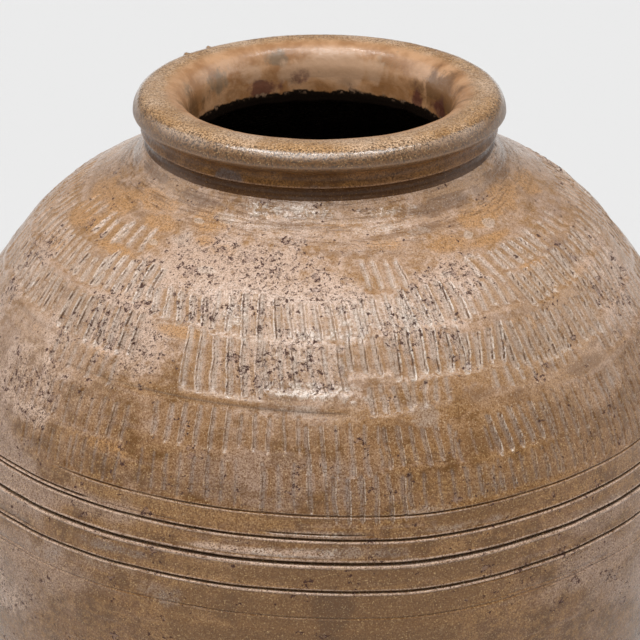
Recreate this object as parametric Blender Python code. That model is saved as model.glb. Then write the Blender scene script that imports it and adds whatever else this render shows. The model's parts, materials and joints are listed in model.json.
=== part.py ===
"""A wide-shouldered stoneware pickling pot, as the clay pieces it is luted together from.

A base slab carries five courses of clay wall. A collar stands on the topmost course, and a
rolled rim stands on the collar. Each piece is turned round the pot's upright axis, and each
seam is a sloping scarf, which a potter cuts so that the wet clay has more width to hold by.
The origin is the middle of the underside, and +Z is up.
"""

import math

import bmesh
import bpy

# Overall sizes, in metres
POT_HEIGHT = 0.430
BELLY_RADIUS = 0.1984
BELLY_HEIGHT = 0.2266
FOOT_RADIUS = 0.122
WALL = 0.011

# Base slab
SLAB_THICKNESS = 0.014
SLAB_EDGE_BEVEL = 0.0025

# Collar under the rim, down to the joint with the shoulder
NECK_RADIUS = 0.0893
NECK_DROP = 0.019
COLLAR_THICKNESS = 0.0228
RIDGE_REACH = 0.0018
RIDGE_DROP = 0.0118
RIDGE_HEIGHT = 0.0020
UNDERCUT_DEPTH = 0.0011

# Rolled rim: the roll's edge is its widest ring, and the crest its highest. It overhangs the
# collar by its reach.
ROLL_REACH = 0.0057
CREST_INSET = 0.0128
RIM_RISE = 0.0087
ROLL_EDGE = 0.0022
ROLL_TUCK = 0.0040

# Mouth, through the rim and the collar
THROAT_DROP = 0.0130
MOUTH_EDGE = 0.0015

# Seams between the pieces: how far a scarf slopes down inwards, and how deep its crease is
SEAM_GAP = 0.0004
SCARF_DROP = 0.005
CREASE = 0.0005

# Rings cut in the clay round the girth
GROOVE_WIDTH = 0.0022
GROOVE_DEPTH = 0.0014

# The body's outline from the widest ring up to the neck: height against how far it swells
# from the neck's radius to the belly's
SHOULDER_SHARES = (
    (0.000, 1.000),
    (0.243, 0.957),
    (0.459, 0.864),
    (0.649, 0.679),
    (0.811, 0.440),
    (0.946, 0.076),
    (1.000, 0.000),
)
# Below the widest ring, how quickly the wall leaves the foot
FOOT_FULLNESS = 1.9

# Places of the seams, as shares of the wall's height up to the widest ring, and above it
LOW_SEAM_SHARES = (0.375, 0.690)
HIGH_SEAM_SHARES = (0.000, 0.341, 0.594)

# Rings on the girth, from the top: place above the widest ring, and size beside the deepest.
# The top ring lies in the seam with the shoulder.
RING_SHARES = ((0.276, 0.80), (0.2095, 1.00), (0.130, 0.80), (0.047, 0.40))
TOP_RING_SIZE_SHARE = 0.60

# The collar's waist, as shares of the way from the roll's tuck down to its ridge
WAIST_SHARES = ((0.25, 0.45), (0.60, 0.75))

TURN_STEPS = 60
ARC_POINTS = 6
WALL_POINTS = 5
SHOULDER_POINTS = 10
SAMPLES = 200
MERGE_DISTANCE = SEAM_GAP / 40

ROLL_EDGE_HEIGHT = POT_HEIGHT - RIM_RISE
TUCK_HEIGHT = ROLL_EDGE_HEIGHT - ROLL_TUCK
NECK_HEIGHT = ROLL_EDGE_HEIGHT - NECK_DROP
THROAT_HEIGHT = ROLL_EDGE_HEIGHT - THROAT_DROP
TUCK_RADIUS = NECK_RADIUS + RIDGE_REACH
RIM_RADIUS = NECK_RADIUS + ROLL_REACH
CREST_RADIUS = RIM_RADIUS - CREST_INSET
MOUTH_RADIUS = NECK_RADIUS - COLLAR_THICKNESS


def smooth_through(knots, place):
    """The value at a place on the smooth curve through (place, value) knots."""
    def slope(index):
        before = knots[max(index - 1, 0)]
        after = knots[min(index + 1, len(knots) - 1)]
        return (after[1] - before[1]) / (after[0] - before[0])

    index = 0
    while index < len(knots) - 2 and place > knots[index + 1][0]:
        index += 1
    low, high = knots[index], knots[index + 1]
    span = high[0] - low[0]
    t = (place - low[0]) / span
    return ((1 + 2 * t) * (1 - t) ** 2 * low[1] + t * (1 - t) ** 2 * span * slope(index)
            + t * t * (3 - 2 * t) * high[1] - t * t * (1 - t) * span * slope(index + 1))


def body_radius(height):
    """The radius of the body's outer side at a height, from the foot up to the neck."""
    if height < BELLY_HEIGHT:
        fall = 1 - height / BELLY_HEIGHT
        return BELLY_RADIUS - (BELLY_RADIUS - FOOT_RADIUS) * fall ** FOOT_FULLNESS
    rise = (height - BELLY_HEIGHT) / (NECK_HEIGHT - BELLY_HEIGHT)
    return NECK_RADIUS + (BELLY_RADIUS - NECK_RADIUS) * smooth_through(SHOULDER_SHARES, rise)


def wall_point(height, depth):
    """A point inside the wall, a depth below its outer side, as (radius, height)."""
    step = WALL / 10
    low, high = height - step, min(height + step, NECK_HEIGHT)
    lean = (body_radius(high) - body_radius(low)) / (high - low)
    length = math.hypot(1, lean)
    return body_radius(height) - depth / length, height + depth * lean / length


def wall_line(low, high, depth, count=WALL_POINTS):
    """Points up the wall at one depth, evenly spaced along the outline."""
    samples = [low + (high - low) * step / SAMPLES for step in range(SAMPLES + 1)]
    reach = [0.0]
    for lower, upper in zip(samples, samples[1:]):
        reach.append(reach[-1] + math.hypot(upper - lower, body_radius(upper) - body_radius(lower)))
    points = []
    for step in range(count):
        wanted = reach[-1] * step / (count - 1)
        index = min(range(len(reach)), key=lambda i: abs(reach[i] - wanted))
        points.append(wall_point(samples[index], depth))
    return points


def arc(centre, half_width, half_height, start, end, count=ARC_POINTS):
    """Points on part of an ellipse, with angles in degrees from the outward side."""
    points = []
    for step in range(count):
        angle = math.radians(start + (end - start) * step / (count - 1))
        points.append((centre[0] + half_width * math.cos(angle),
                       centre[1] + half_height * math.sin(angle)))
    return points


def low_seam(share):
    return BELLY_HEIGHT * share


def high_seam(share):
    return BELLY_HEIGHT + (NECK_HEIGHT - BELLY_HEIGHT) * share


def groove(height, size_share):
    """The three points of a ring cut in the wall, from its lower edge to its upper edge."""
    half = GROOVE_WIDTH * size_share / 2
    return [wall_point(height - half, 0), wall_point(height, GROOVE_DEPTH * size_share),
            wall_point(height + half, 0)]


def eased_foot(height, size=CREASE):
    """The outer corner at a piece's lower seam, eased back and listed upwards."""
    return [wall_point(height, size), wall_point(height + size, 0)]


def eased_top(height, size=CREASE):
    """The outer corner at a piece's upper seam, eased back and listed upwards."""
    return [wall_point(height - size, 0), wall_point(height, size)]


def course(low, high, outer=None, top_crease=CREASE, low_crease=CREASE):
    """A ring of wall between two seams that slope down inwards, outer side first."""
    outer = outer or wall_line(low + SEAM_GAP + low_crease, high - top_crease, 0)[1:-1]
    inner = wall_line(low + SEAM_GAP - SCARF_DROP, high - SCARF_DROP, WALL)
    return (eased_foot(low + SEAM_GAP, low_crease) + outer
            + eased_top(high, top_crease) + inner[::-1])


def base_slab():
    """A round slab with an eased lower edge. Its side follows the body's outline."""
    return [(0, 0),
            (FOOT_RADIUS - SLAB_EDGE_BEVEL, 0),
            (body_radius(SLAB_EDGE_BEVEL), SLAB_EDGE_BEVEL),
            (body_radius(SLAB_THICKNESS), SLAB_THICKNESS),
            (0, SLAB_THICKNESS)]


def foot_wall_course():
    """The first course, which stands flat on the slab and starts its inner side upright."""
    foot = SLAB_THICKNESS + SEAM_GAP
    high = low_seam(LOW_SEAM_SHARES[0])
    inner = wall_line(foot, high - SCARF_DROP, WALL)
    outer = wall_line(foot + CREASE, high - CREASE, 0)[1:-1]
    return (eased_foot(foot)[1:] + outer + eased_top(high)
            + inner[::-1] + [(inner[0][0], foot), (body_radius(foot) - CREASE, foot)])


def ringed_girth_course():
    """The course round the widest part, with rings cut in its outer side."""
    low, high = high_seam(HIGH_SEAM_SHARES[0]), high_seam(HIGH_SEAM_SHARES[1])
    outer = []
    for rise_share, size_share in reversed(RING_SHARES):
        outer += groove(high_seam(rise_share), size_share)
    return course(low, high, outer, GROOVE_DEPTH * TOP_RING_SIZE_SHARE)


def upper_shoulder_course():
    """The topmost course. Its top edge is cut square to the wall, as a seat for the collar."""
    low = high_seam(HIGH_SEAM_SHARES[2])
    outer = wall_line(low + SEAM_GAP + CREASE, NECK_HEIGHT, 0, SHOULDER_POINTS)[1:]
    inner = wall_line(low + SEAM_GAP - SCARF_DROP, NECK_HEIGHT, WALL, SHOULDER_POINTS)
    return eased_foot(low + SEAM_GAP) + outer + inner[::-1]


def mouth_radius(height):
    """The mouth's radius: upright below the throat, and a quarter of an ellipse above it."""
    if height <= THROAT_HEIGHT:
        return MOUTH_RADIUS
    rise = (height - THROAT_HEIGHT) / (POT_HEIGHT - THROAT_HEIGHT)
    return CREST_RADIUS - (CREST_RADIUS - MOUTH_RADIUS) * math.sqrt(1 - rise * rise)


def mouth_line(low, high, count):
    """Points down the mouth's side, closest together at the top."""
    points = []
    for step in range(count):
        fall = 1 - math.cos(math.pi / 2 * step / (count - 1))
        height = high - (high - low) * fall
        points.append((mouth_radius(height), height))
    return points


def neck_collar():
    """The collar, with a ridge round its waist, an undercut below it and a flange inside."""
    ridge = ROLL_EDGE_HEIGHT - RIDGE_DROP
    side = [(NECK_RADIUS, NECK_HEIGHT + SEAM_GAP),
            (NECK_RADIUS - UNDERCUT_DEPTH, (NECK_HEIGHT + ridge - RIDGE_HEIGHT / 2) / 2),
            (NECK_RADIUS, ridge - RIDGE_HEIGHT / 2),
            (NECK_RADIUS + RIDGE_REACH, ridge),
            (NECK_RADIUS + RIDGE_REACH / 2, ridge + RIDGE_HEIGHT / 2)]
    for reach_share, rise_share in WAIST_SHARES:
        side.append((NECK_RADIUS + RIDGE_REACH * reach_share,
                     ridge + (TUCK_HEIGHT - ridge) * rise_share))
    seat = wall_point(NECK_HEIGHT, WALL)
    return (side + [(TUCK_RADIUS, TUCK_HEIGHT)]
            + mouth_line(NECK_HEIGHT, TUCK_HEIGHT - SCARF_DROP, ARC_POINTS // 2)
            + [(mouth_radius(NECK_HEIGHT) + MOUTH_EDGE, NECK_HEIGHT - MOUTH_EDGE),
               (seat[0], seat[1] + SEAM_GAP)])


def rolled_rim():
    """The rim: a roll with a crisp lower edge outside, and a funnel down into the mouth."""
    roll = arc((CREST_RADIUS, ROLL_EDGE_HEIGHT), RIM_RADIUS - CREST_RADIUS, RIM_RISE, 0, 90)
    mouth = mouth_line(TUCK_HEIGHT - SCARF_DROP + SEAM_GAP, POT_HEIGHT, 2 * ARC_POINTS)
    return ([(TUCK_RADIUS, TUCK_HEIGHT + SEAM_GAP),
             (RIM_RADIUS - ROLL_EDGE / 2, ROLL_EDGE_HEIGHT - ROLL_EDGE)]
            + roll + mouth[1:])


def finish(name, colour, roughness):
    """A plain fired-clay or glaze material."""
    material = bpy.data.materials.new(name)
    material.use_nodes = True
    shader = material.node_tree.nodes["Principled BSDF"]
    shader.inputs["Base Color"].default_value = (*colour, 1)
    shader.inputs["Roughness"].default_value = roughness
    shader.inputs["Metallic"].default_value = 0
    return material


def turned(name, outline, colour, roughness):
    """Turns an outline of (radius, height) points once round the axis, as one closed solid."""
    shape = bmesh.new()
    corners = [shape.verts.new((radius, 0, height)) for radius, height in outline]
    edges = [shape.edges.new(pair) for pair in zip(corners, corners[1:])]
    if outline[0][0] > 0:
        edges.append(shape.edges.new((corners[-1], corners[0])))
    bmesh.ops.spin(shape, geom=corners + edges, cent=(0, 0, 0), axis=(0, 0, 1), dvec=(0, 0, 0),
                   angle=2 * math.pi, steps=TURN_STEPS, use_merge=True, use_duplicate=False)
    bmesh.ops.remove_doubles(shape, verts=shape.verts, dist=MERGE_DISTANCE)
    bmesh.ops.recalc_face_normals(shape, faces=shape.faces)
    mesh = bpy.data.meshes.new(name)
    shape.to_mesh(mesh)
    shape.free()
    mesh.shade_smooth()
    mesh.set_sharp_from_angle(angle=math.radians(30))
    mesh.materials.append(finish(name + "_clay", colour, roughness))
    piece = bpy.data.objects.new(name, mesh)
    bpy.context.scene.collection.objects.link(piece)
    return piece


def build():
    for leftover in list(bpy.data.objects):
        bpy.data.objects.remove(leftover, do_unlink=True)

    foot_seam, belly_seam = (low_seam(share) for share in LOW_SEAM_SHARES)
    girth_seam, ring_seam, shoulder_seam = (high_seam(share) for share in HIGH_SEAM_SHARES)
    top_ring_depth = GROOVE_DEPTH * TOP_RING_SIZE_SHARE

    turned("base_slab", base_slab(), (0.30, 0.19, 0.12), 0.85)
    turned("foot_wall_course", foot_wall_course(), (0.26, 0.15, 0.07), 0.50)
    turned("lower_belly_course", course(foot_seam, belly_seam), (0.27, 0.16, 0.07), 0.45)
    turned("upper_belly_course", course(belly_seam, girth_seam), (0.28, 0.16, 0.07), 0.42)
    turned("ringed_girth_course", ringed_girth_course(), (0.27, 0.16, 0.07), 0.40)
    turned("lower_shoulder_course",
           course(ring_seam, shoulder_seam, low_crease=top_ring_depth), (0.30, 0.18, 0.08), 0.40)
    turned("upper_shoulder_course", upper_shoulder_course(), (0.35, 0.22, 0.12), 0.42)
    turned("neck_collar", neck_collar(), (0.22, 0.13, 0.06), 0.45)
    turned("rolled_rim", rolled_rim(), (0.38, 0.22, 0.08), 0.38)


build()
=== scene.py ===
# %% [markdown]
# A brown stoneware pickling pot, finished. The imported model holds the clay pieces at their
# real size. Each of them is turned again here with far more rows, so that the marks of the
# paddle, the rings cut round the girth and the unevenness of hand work can be real shape.
# It could all be painted on with bump, but then the outline and the exported mesh stay smooth.

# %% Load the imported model
import json
import math

import bmesh
import bpy
import numpy as np
from mathutils import Euler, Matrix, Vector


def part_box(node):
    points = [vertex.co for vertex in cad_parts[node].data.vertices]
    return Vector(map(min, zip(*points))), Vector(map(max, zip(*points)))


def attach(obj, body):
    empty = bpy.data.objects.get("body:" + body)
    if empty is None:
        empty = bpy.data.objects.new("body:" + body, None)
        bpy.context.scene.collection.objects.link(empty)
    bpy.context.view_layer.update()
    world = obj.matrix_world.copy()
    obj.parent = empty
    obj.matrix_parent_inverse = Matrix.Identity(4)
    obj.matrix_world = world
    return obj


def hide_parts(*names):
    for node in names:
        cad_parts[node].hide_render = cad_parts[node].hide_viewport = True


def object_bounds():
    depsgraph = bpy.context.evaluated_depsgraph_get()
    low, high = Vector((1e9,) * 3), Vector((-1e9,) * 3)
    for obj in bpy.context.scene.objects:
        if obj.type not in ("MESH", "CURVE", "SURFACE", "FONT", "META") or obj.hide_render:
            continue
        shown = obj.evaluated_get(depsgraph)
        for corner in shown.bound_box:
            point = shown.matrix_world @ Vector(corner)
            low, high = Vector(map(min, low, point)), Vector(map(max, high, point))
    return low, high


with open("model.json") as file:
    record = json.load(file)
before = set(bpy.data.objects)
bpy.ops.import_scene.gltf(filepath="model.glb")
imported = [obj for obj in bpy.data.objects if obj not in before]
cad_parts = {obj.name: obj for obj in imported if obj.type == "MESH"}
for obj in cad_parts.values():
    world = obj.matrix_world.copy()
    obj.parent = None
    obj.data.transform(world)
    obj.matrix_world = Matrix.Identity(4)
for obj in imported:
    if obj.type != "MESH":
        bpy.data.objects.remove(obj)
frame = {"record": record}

cad_low, cad_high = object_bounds()
print("CAD box, metres:", [round(side, 4) for side in (*cad_low, *cad_high)])

# %% [markdown]
# Sizes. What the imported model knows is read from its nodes, so that a new piece always meets
# the one beside it. Seams are read as the top of the piece below them.

# %% Read the sizes from the nodes
POT_HEIGHT = cad_high[2]
BELLY_RADIUS = cad_high[0]
RIM_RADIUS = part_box("rolled_rim")[1][0]
SLAB_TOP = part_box("base_slab")[1][2]
FOOT_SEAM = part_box("foot_wall_course")[1][2]
BELLY_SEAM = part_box("lower_belly_course")[1][2]
GIRTH_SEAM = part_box("upper_belly_course")[1][2]
RING_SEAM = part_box("ringed_girth_course")[1][2]
SHOULDER_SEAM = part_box("lower_shoulder_course")[1][2]
NECK_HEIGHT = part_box("upper_shoulder_course")[1][2]
TUCK_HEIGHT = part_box("neck_collar")[1][2]
TUCK_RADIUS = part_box("neck_collar")[1][0]

FOOT_RADIUS = 0.122
WALL = 0.011
NECK_RADIUS = 0.0893
CREST_RADIUS = 0.0845
MOUTH_RADIUS = 0.0665
RIM_RISE = 0.0087
THROAT_DROP = 0.0130
SCARF_DROP = 0.005
HAIRLINE = 0.00002
ROLL_EDGE_HEIGHT = POT_HEIGHT - RIM_RISE
THROAT_HEIGHT = ROLL_EDGE_HEIGHT - THROAT_DROP
print("seams, metres:", [round(seam, 4) for seam in (SLAB_TOP, FOOT_SEAM, BELLY_SEAM, GIRTH_SEAM,
                                                      RING_SEAM, SHOULDER_SEAM, NECK_HEIGHT)])

# %% [markdown]
# The body's outline is a curve through a few points from the widest ring up to the neck, and
# one plain swelling curve below it. It is worked out once on a fine ladder of heights, and
# every question about the wall is then answered from that ladder.

# %% Work out the outline of the wall
SHOULDER_SHARES = ((0.000, 1.000), (0.243, 0.957), (0.459, 0.864), (0.649, 0.679),
                   (0.811, 0.440), (0.946, 0.076), (1.000, 0.000))
FOOT_FULLNESS = 1.9
LADDER_STEPS = 6000


def smooth_through(knots, place):
    """The value at each place on the smooth curve through (place, value) knots."""
    at = np.array([knot[0] for knot in knots])
    value = np.array([knot[1] for knot in knots])
    before = np.maximum(np.arange(len(knots)) - 1, 0)
    after = np.minimum(np.arange(len(knots)) + 1, len(knots) - 1)
    slope = (value[after] - value[before]) / (at[after] - at[before])
    low = np.clip(np.searchsorted(at, place, side="right") - 1, 0, len(knots) - 2)
    span = at[low + 1] - at[low]
    t = (place - at[low]) / span
    return ((1 + 2 * t) * (1 - t) ** 2 * value[low] + t * (1 - t) ** 2 * span * slope[low]
            + t * t * (3 - 2 * t) * value[low + 1] - t * t * (1 - t) * span * slope[low + 1])


ladder = np.linspace(0, NECK_HEIGHT, LADDER_STEPS + 1)
fall = np.clip(1 - ladder / GIRTH_SEAM, 0, 1)
rise = np.clip((ladder - GIRTH_SEAM) / (NECK_HEIGHT - GIRTH_SEAM), 0, 1)
ladder_radius = np.where(ladder < GIRTH_SEAM,
                         BELLY_RADIUS - (BELLY_RADIUS - FOOT_RADIUS) * fall ** FOOT_FULLNESS,
                         NECK_RADIUS + (BELLY_RADIUS - NECK_RADIUS)
                         * smooth_through(SHOULDER_SHARES, rise))
ladder_lean = np.gradient(ladder_radius, ladder)
climbed = np.concatenate([[0], np.cumsum(np.hypot(np.diff(ladder), np.diff(ladder_radius)))])
ladder_reach = climbed[-1] - climbed
WALL_REACH = ladder_reach[0]
print("wall from collar to foot, along the surface:", round(float(WALL_REACH), 4), "m")


def reach_at(height):
    """How far down the wall from the collar a height lies, measured along the surface."""
    return np.interp(height, ladder, ladder_reach)


def height_at(reach):
    return np.interp(reach, ladder_reach[::-1], ladder[::-1])


def wall_place(height, depth):
    """Radius and height of a point in the wall, a depth below its outer side."""
    lean = np.interp(height, ladder, ladder_lean)
    length = np.hypot(1, lean)
    return np.interp(height, ladder, ladder_radius) - depth / length, height + depth * lean / length


def wall_rows(low, high, spacing):
    """Heights between two others, evenly spaced along the surface, both ends included."""
    start, end = reach_at(low), reach_at(high)
    return height_at(np.linspace(start, end, max(2, round((start - end) / spacing) + 1)))


def with_rows(rows, extra, closest):
    """Rows with extra ones among them. A plain row that lies too close to an extra one goes."""
    low, high = rows[0], rows[-1]
    extra = [row for row in extra if low + closest < row < high - closest]
    plain = [row for row in rows[1:-1] if all(abs(row - other) > closest * 2 for other in extra)]
    kept = [low]
    for row in sorted(extra + plain):
        if row - kept[-1] > closest:
            kept.append(row)
    return np.array(kept + [high])

# %% [markdown]
# Every piece is turned: an outline of a few dozen points is spun round the axis, as clay is on
# a wheel. One spin with a thousand steps is slow, so a narrow wedge is spun first and copied
# round by a second spin. Merging doubles then closes the wedges' edges and any pole.

# %% Turn an outline into a closed piece
JOIN = 1e-6
WEDGES = 25
FRONT_CLOSER = 0.45


def turned(name, radii, heights, columns, on_axis=False):
    """Spins an outline once round the axis into one closed mesh, with its faces outward."""
    shape = bmesh.new()
    corners = [shape.verts.new((radius, 0, height)) for radius, height in zip(radii, heights)]
    edges = [shape.edges.new(pair) for pair in zip(corners, corners[1:])]
    if not on_axis:
        edges.append(shape.edges.new((corners[-1], corners[0])))
    wedge = 2 * math.pi / WEDGES
    about = {"cent": (0, 0, 0), "axis": (0, 0, 1), "dvec": (0, 0, 0), "use_merge": False}
    bmesh.ops.spin(shape, geom=corners + edges, angle=wedge, steps=columns // WEDGES,
                   use_duplicate=False, **about)
    whole = shape.verts[:] + shape.edges[:] + shape.faces[:]
    bmesh.ops.spin(shape, geom=whole, angle=2 * math.pi - wedge, steps=WEDGES - 1,
                   use_duplicate=True, **about)
    bmesh.ops.remove_doubles(shape, verts=shape.verts, dist=JOIN)
    bmesh.ops.recalc_face_normals(shape, faces=shape.faces)
    mesh = bpy.data.meshes.new(name)
    shape.to_mesh(mesh)
    shape.free()
    piece = bpy.data.objects.new(name, mesh)
    bpy.context.scene.collection.objects.link(piece)
    return piece


def points_of(mesh):
    """The mesh's points as an array, a row for each."""
    flat = np.empty(len(mesh.vertices) * 3)
    mesh.vertices.foreach_get("co", flat)
    return flat.reshape(-1, 3)


def polar(points):
    """Angle from the front, positive towards +X, and radius, of each turned point. The angles
    are drawn together at the front, where the finest marks are."""
    angle = np.arctan2(points[:, 0], -points[:, 1])
    return angle - FRONT_CLOSER * np.sin(angle), np.hypot(points[:, 0], points[:, 1])


def put_points(mesh, angle, radius, height):
    moved = np.stack([radius * np.sin(angle), -radius * np.cos(angle), height], axis=1)
    mesh.vertices.foreach_set("co", moved.ravel())
    mesh.update()


def note_mark(mesh, name, values):
    """Keeps one number for each point under a name that the glaze can read."""
    mark = mesh.attributes.new(name, "FLOAT", "POINT")
    mark.data.foreach_set("value", np.ascontiguousarray(values, dtype=np.float32))

# %% [markdown]
# Hand work is never even. Soft random hills, the same every time because their seed is fixed,
# are laid over the angle round the pot and the way down its wall. They join up at the back.

# %% Make soft random hills


def hills(angle, reach, patch, seed, stretch=1.0):
    """Smooth random hills from -1 to 1. A hill is a patch tall, and stretch times as wide."""
    draw = np.random.default_rng(seed)
    around = max(3, round(2 * math.pi * BELLY_RADIUS / (patch * stretch)))
    rows = int(math.ceil((WALL_REACH + 0.2) / patch)) + 3
    lattice = draw.uniform(-1, 1, (rows, around))
    column = (angle / (2 * math.pi) * around) % around
    row = np.clip((reach + 0.1) / patch, 0, rows - 2)
    left, top = np.floor(column).astype(int) % around, np.floor(row).astype(int)
    across, down = column - np.floor(column), row - top
    across, down = across * across * (3 - 2 * across), down * down * (3 - 2 * down)
    right = (left + 1) % around
    upper = lattice[top, left] * (1 - across) + lattice[top, right] * across
    lower = lattice[top + 1, left] * (1 - across) + lattice[top + 1, right] * across
    return upper * (1 - down) + lower * down


def layered_hills(angle, reach, patch, seed, stretch=1.0, layers=3):
    """Hills on hills, each layer half the size and half the height of the one before."""
    total, height = 0, 1
    for layer in range(layers):
        total = total + height * hills(angle, reach, patch / 2 ** layer, seed + layer, stretch)
        height = height / 2
    return total / 1.5


def eased(value, low, high):
    """0 below low, 1 above high, and a smooth step between them."""
    t = np.clip((value - low) / (high - low), 0, 1)
    return t * t * (3 - 2 * t)


def signed_turn(angle, middle):
    """The angle from a middle, in degrees, the short way round."""
    return (np.degrees(angle) - middle + 180) % 360 - 180

# %% [markdown]
# The rings were cut while the pot turned slowly and not quite true, so they rise and fall
# together as they go round. The whole wall is moved by the same slow wave, so that rows of
# points, and the seam in the top ring, follow the cut.

# %% Let the courses settle out of true
RING_SHARES = (0.341, 0.276, 0.2095, 0.130, 0.047)
# For each ring, the waves once, twice and three times round, in metres
RING_WAVES = ((-0.0003, 0.0003, -0.0017), (-0.0004, 0.0004, -0.0017), (-0.0001, 0.0008, -0.0018),
              (0.0002, 0.0009, -0.0023), (0.0005, 0.0007, -0.0020))
# Where the tool slipped down: middle and half width in degrees, and distance in metres
SLIPS = ((13, 11, 0.0008), (58, 13, 0.0017), (-56, 9, 0.0006), (96, 16, 0.0010), (-120, 20, 0.0012),
         (165, 14, 0.0009))
SUNK = 0.0011
RING_HEIGHTS = [GIRTH_SEAM + (NECK_HEIGHT - GIRTH_SEAM) * share for share in RING_SHARES]
ring_reach = [float(reach_at(height)) for height in RING_HEIGHTS]
STILL_ABOVE, STILL_BELOW = 0.045, 0.330


def settle(angle, reach):
    """How far the wall's surface has slipped up, in metres."""
    wave = 0
    for turn in range(3):
        size = np.interp(reach, ring_reach, [waves[turn] for waves in RING_WAVES])
        wave = wave + size * np.sin((turn + 1) * angle)
    for middle, half, slip in SLIPS:
        wave = wave - slip * np.exp(-(signed_turn(angle, middle) / half) ** 2)
    wave = wave - SUNK * (1 - eased(reach, ring_reach[-2], ring_reach[-1]))
    calm = eased(reach, 0, STILL_ABOVE) * (1 - eased(reach, ring_reach[-1], STILL_BELOW))
    return wave * calm

# %% [markdown]
# The wall was beaten with a grooved paddle. Each blow leaves a few short grooves side by side,
# in rows that drift and overlap. The blows on the front follow the real ones, an entry for each:
# from and to angle in degrees, top and bottom in millimetres down the wall, lean in degrees,
# and strength. The same hand fills the back by chance.

# %% Set out the paddle's blows
MM = 0.001
TABLE_START = 0.0126
FRONT_BLOWS = (
    (-76, -68, 18, 30, 0, 0.35), (-62, -54, 19, 33, -6, 0.75), (-53, -45, 17, 31, -5, 0.65),
    (10, 18, 20, 36, -4, 0.45), (35, 42, 27, 40, -14, 0.60), (44, 56, 26, 40, -14, 0.80),
    (57, 70, 26, 38, -8, 0.35),
    (-79, -68, 38, 55, 0, 0.45), (-66, -58, 40, 57, 0, 0.70), (-56, -50, 42, 58, -3, 0.75),
    (-49, -35, 36, 56, -2, 0.85), (-33, -22, 46, 61, -16, 0.80), (-20, -8, 42, 63, -8, 0.75),
    (-6, 7, 44, 63, -8, 0.65), (8, 16, 40, 60, -4, 0.60), (17, 28, 36, 59, -6, 0.90),
    (30, 40, 40, 58, -6, 0.45), (43, 50, 43, 62, -12, 0.85), (51, 58, 41, 60, -10, 0.80),
    (59, 70, 42, 58, -6, 0.65), (71, 80, 42, 58, -4, 0.50),
    (-80, -67, 62, 80, 0, 0.60), (-65, -56, 62, 81, -4, 0.70), (-52, -34, 62, 83, -3, 0.85),
    (-23, -10, 64, 92, -7, 0.75), (-9, 4, 66, 88, -8, 0.60), (5, 12, 62, 80, -6, 0.60),
    (13, 25, 60, 83, 1, 1.00), (26, 33, 66, 84, 13, 0.90), (34, 45, 67, 90, -6, 0.80),
    (46, 56, 68, 90, -8, 0.80), (57, 75, 62, 82, -4, 0.70),
    (-50, -36, 86, 99, 0, 0.50), (8, 14, 86, 99, -6, 0.65), (15, 21, 86, 97, 6, 0.40),
    (30, 47, 86, 97, -4, 0.45), (55, 66, 86, 100, -4, 0.60), (67, 78, 84, 98, 0, 0.50),
    (-57, -48, 107, 124, -4, 0.55), (-47, -31, 106, 124, -2, 0.80), (-26, -14, 99, 118, -2, 0.85),
    (-12, -3, 100, 117, -3, 0.75), (-2, 9, 104, 128, -3, 0.85), (10, 20, 107, 125, -4, 0.85),
    (21, 26, 111, 126, -8, 0.55), (27, 37, 107, 126, -9, 1.00), (38, 50, 105, 128, -6, 0.80),
    (51, 64, 106, 130, -4, 0.75), (65, 78, 106, 128, -4, 0.60),
    (-50, -40, 129, 144, 0, 0.45), (-39, -31, 127, 144, 0, 0.70), (-27, -12, 123, 143, -1, 0.65),
    (-8, 1, 123, 146, -3, 0.75), (2, 12, 129, 151, -2, 0.90), (13, 26, 130, 146, -3, 0.75),
    (27, 37, 129, 145, -5, 0.85), (38, 49, 128, 145, -4, 0.75), (50, 60, 128, 146, -3, 0.60),
    (61, 76, 130, 147, -2, 0.55),
)
ROW_TOPS_AND_FEET = ((26, 40), (42, 60), (64, 84), (87, 99), (105, 125), (128, 146))
BACK_FROM, BACK_TO = 80, 280
GROOVE_PITCH = 0.0068


def back_blows():
    """Blows round the back, row by row, each a little off its row and its neighbour."""
    draw = np.random.default_rng(41)
    blows = []
    for top, foot in ROW_TOPS_AND_FEET:
        turn = BACK_FROM + draw.uniform(0, 6)
        drift = draw.uniform(0, 2 * math.pi)
        while turn < BACK_TO:
            width = draw.uniform(8, 15)
            shift = 2.0 * math.sin(math.radians(turn) * 2 + drift) + draw.uniform(-1.5, 1.5)
            strength = draw.uniform(0.35, 1.0)
            if foot - top < 16:
                strength = strength * 0.7
            blows.append((turn, min(turn + width, BACK_TO), top + shift, foot + shift,
                          draw.uniform(-10, 6), strength))
            turn = turn + width + draw.uniform(1.5, 3.5)
    return blows


blows = list(FRONT_BLOWS) + back_blows()
print("paddle blows:", len(blows))

# %% [markdown]
# One groove is a shallow trench, about 3.4 mm wide high on the shoulder and 2.4 mm lower down.
# Its floor slopes down away from the front of the pot to a steep far side, which throws up a
# thin burr of clay, and another burr stands at its foot. The flat of the paddle also sinks the
# whole patch a little, most at the foot of the blow, where it leaves a small step. Where two
# blows overlap, the deeper one wins. The ridges left standing between grooves are noted too,
# because the ash ran off them.

# %% Press the paddle's grooves
# Blows that start above 88 mm are wide and firm, and those below are narrow and lighter
GROOVE_HALF, NARROW_HALF = 0.0017, 0.0012
NARROW_BELOW = 88
GROOVE_DEPTH = 0.00125
MOST_GROOVES = 40
WOBBLE = 0.0007
BURR_SHARE = 0.34
END_EASE = 0.0016
DENT_DEPTH = 0.00100
DENT_EDGE = 0.0022


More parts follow.
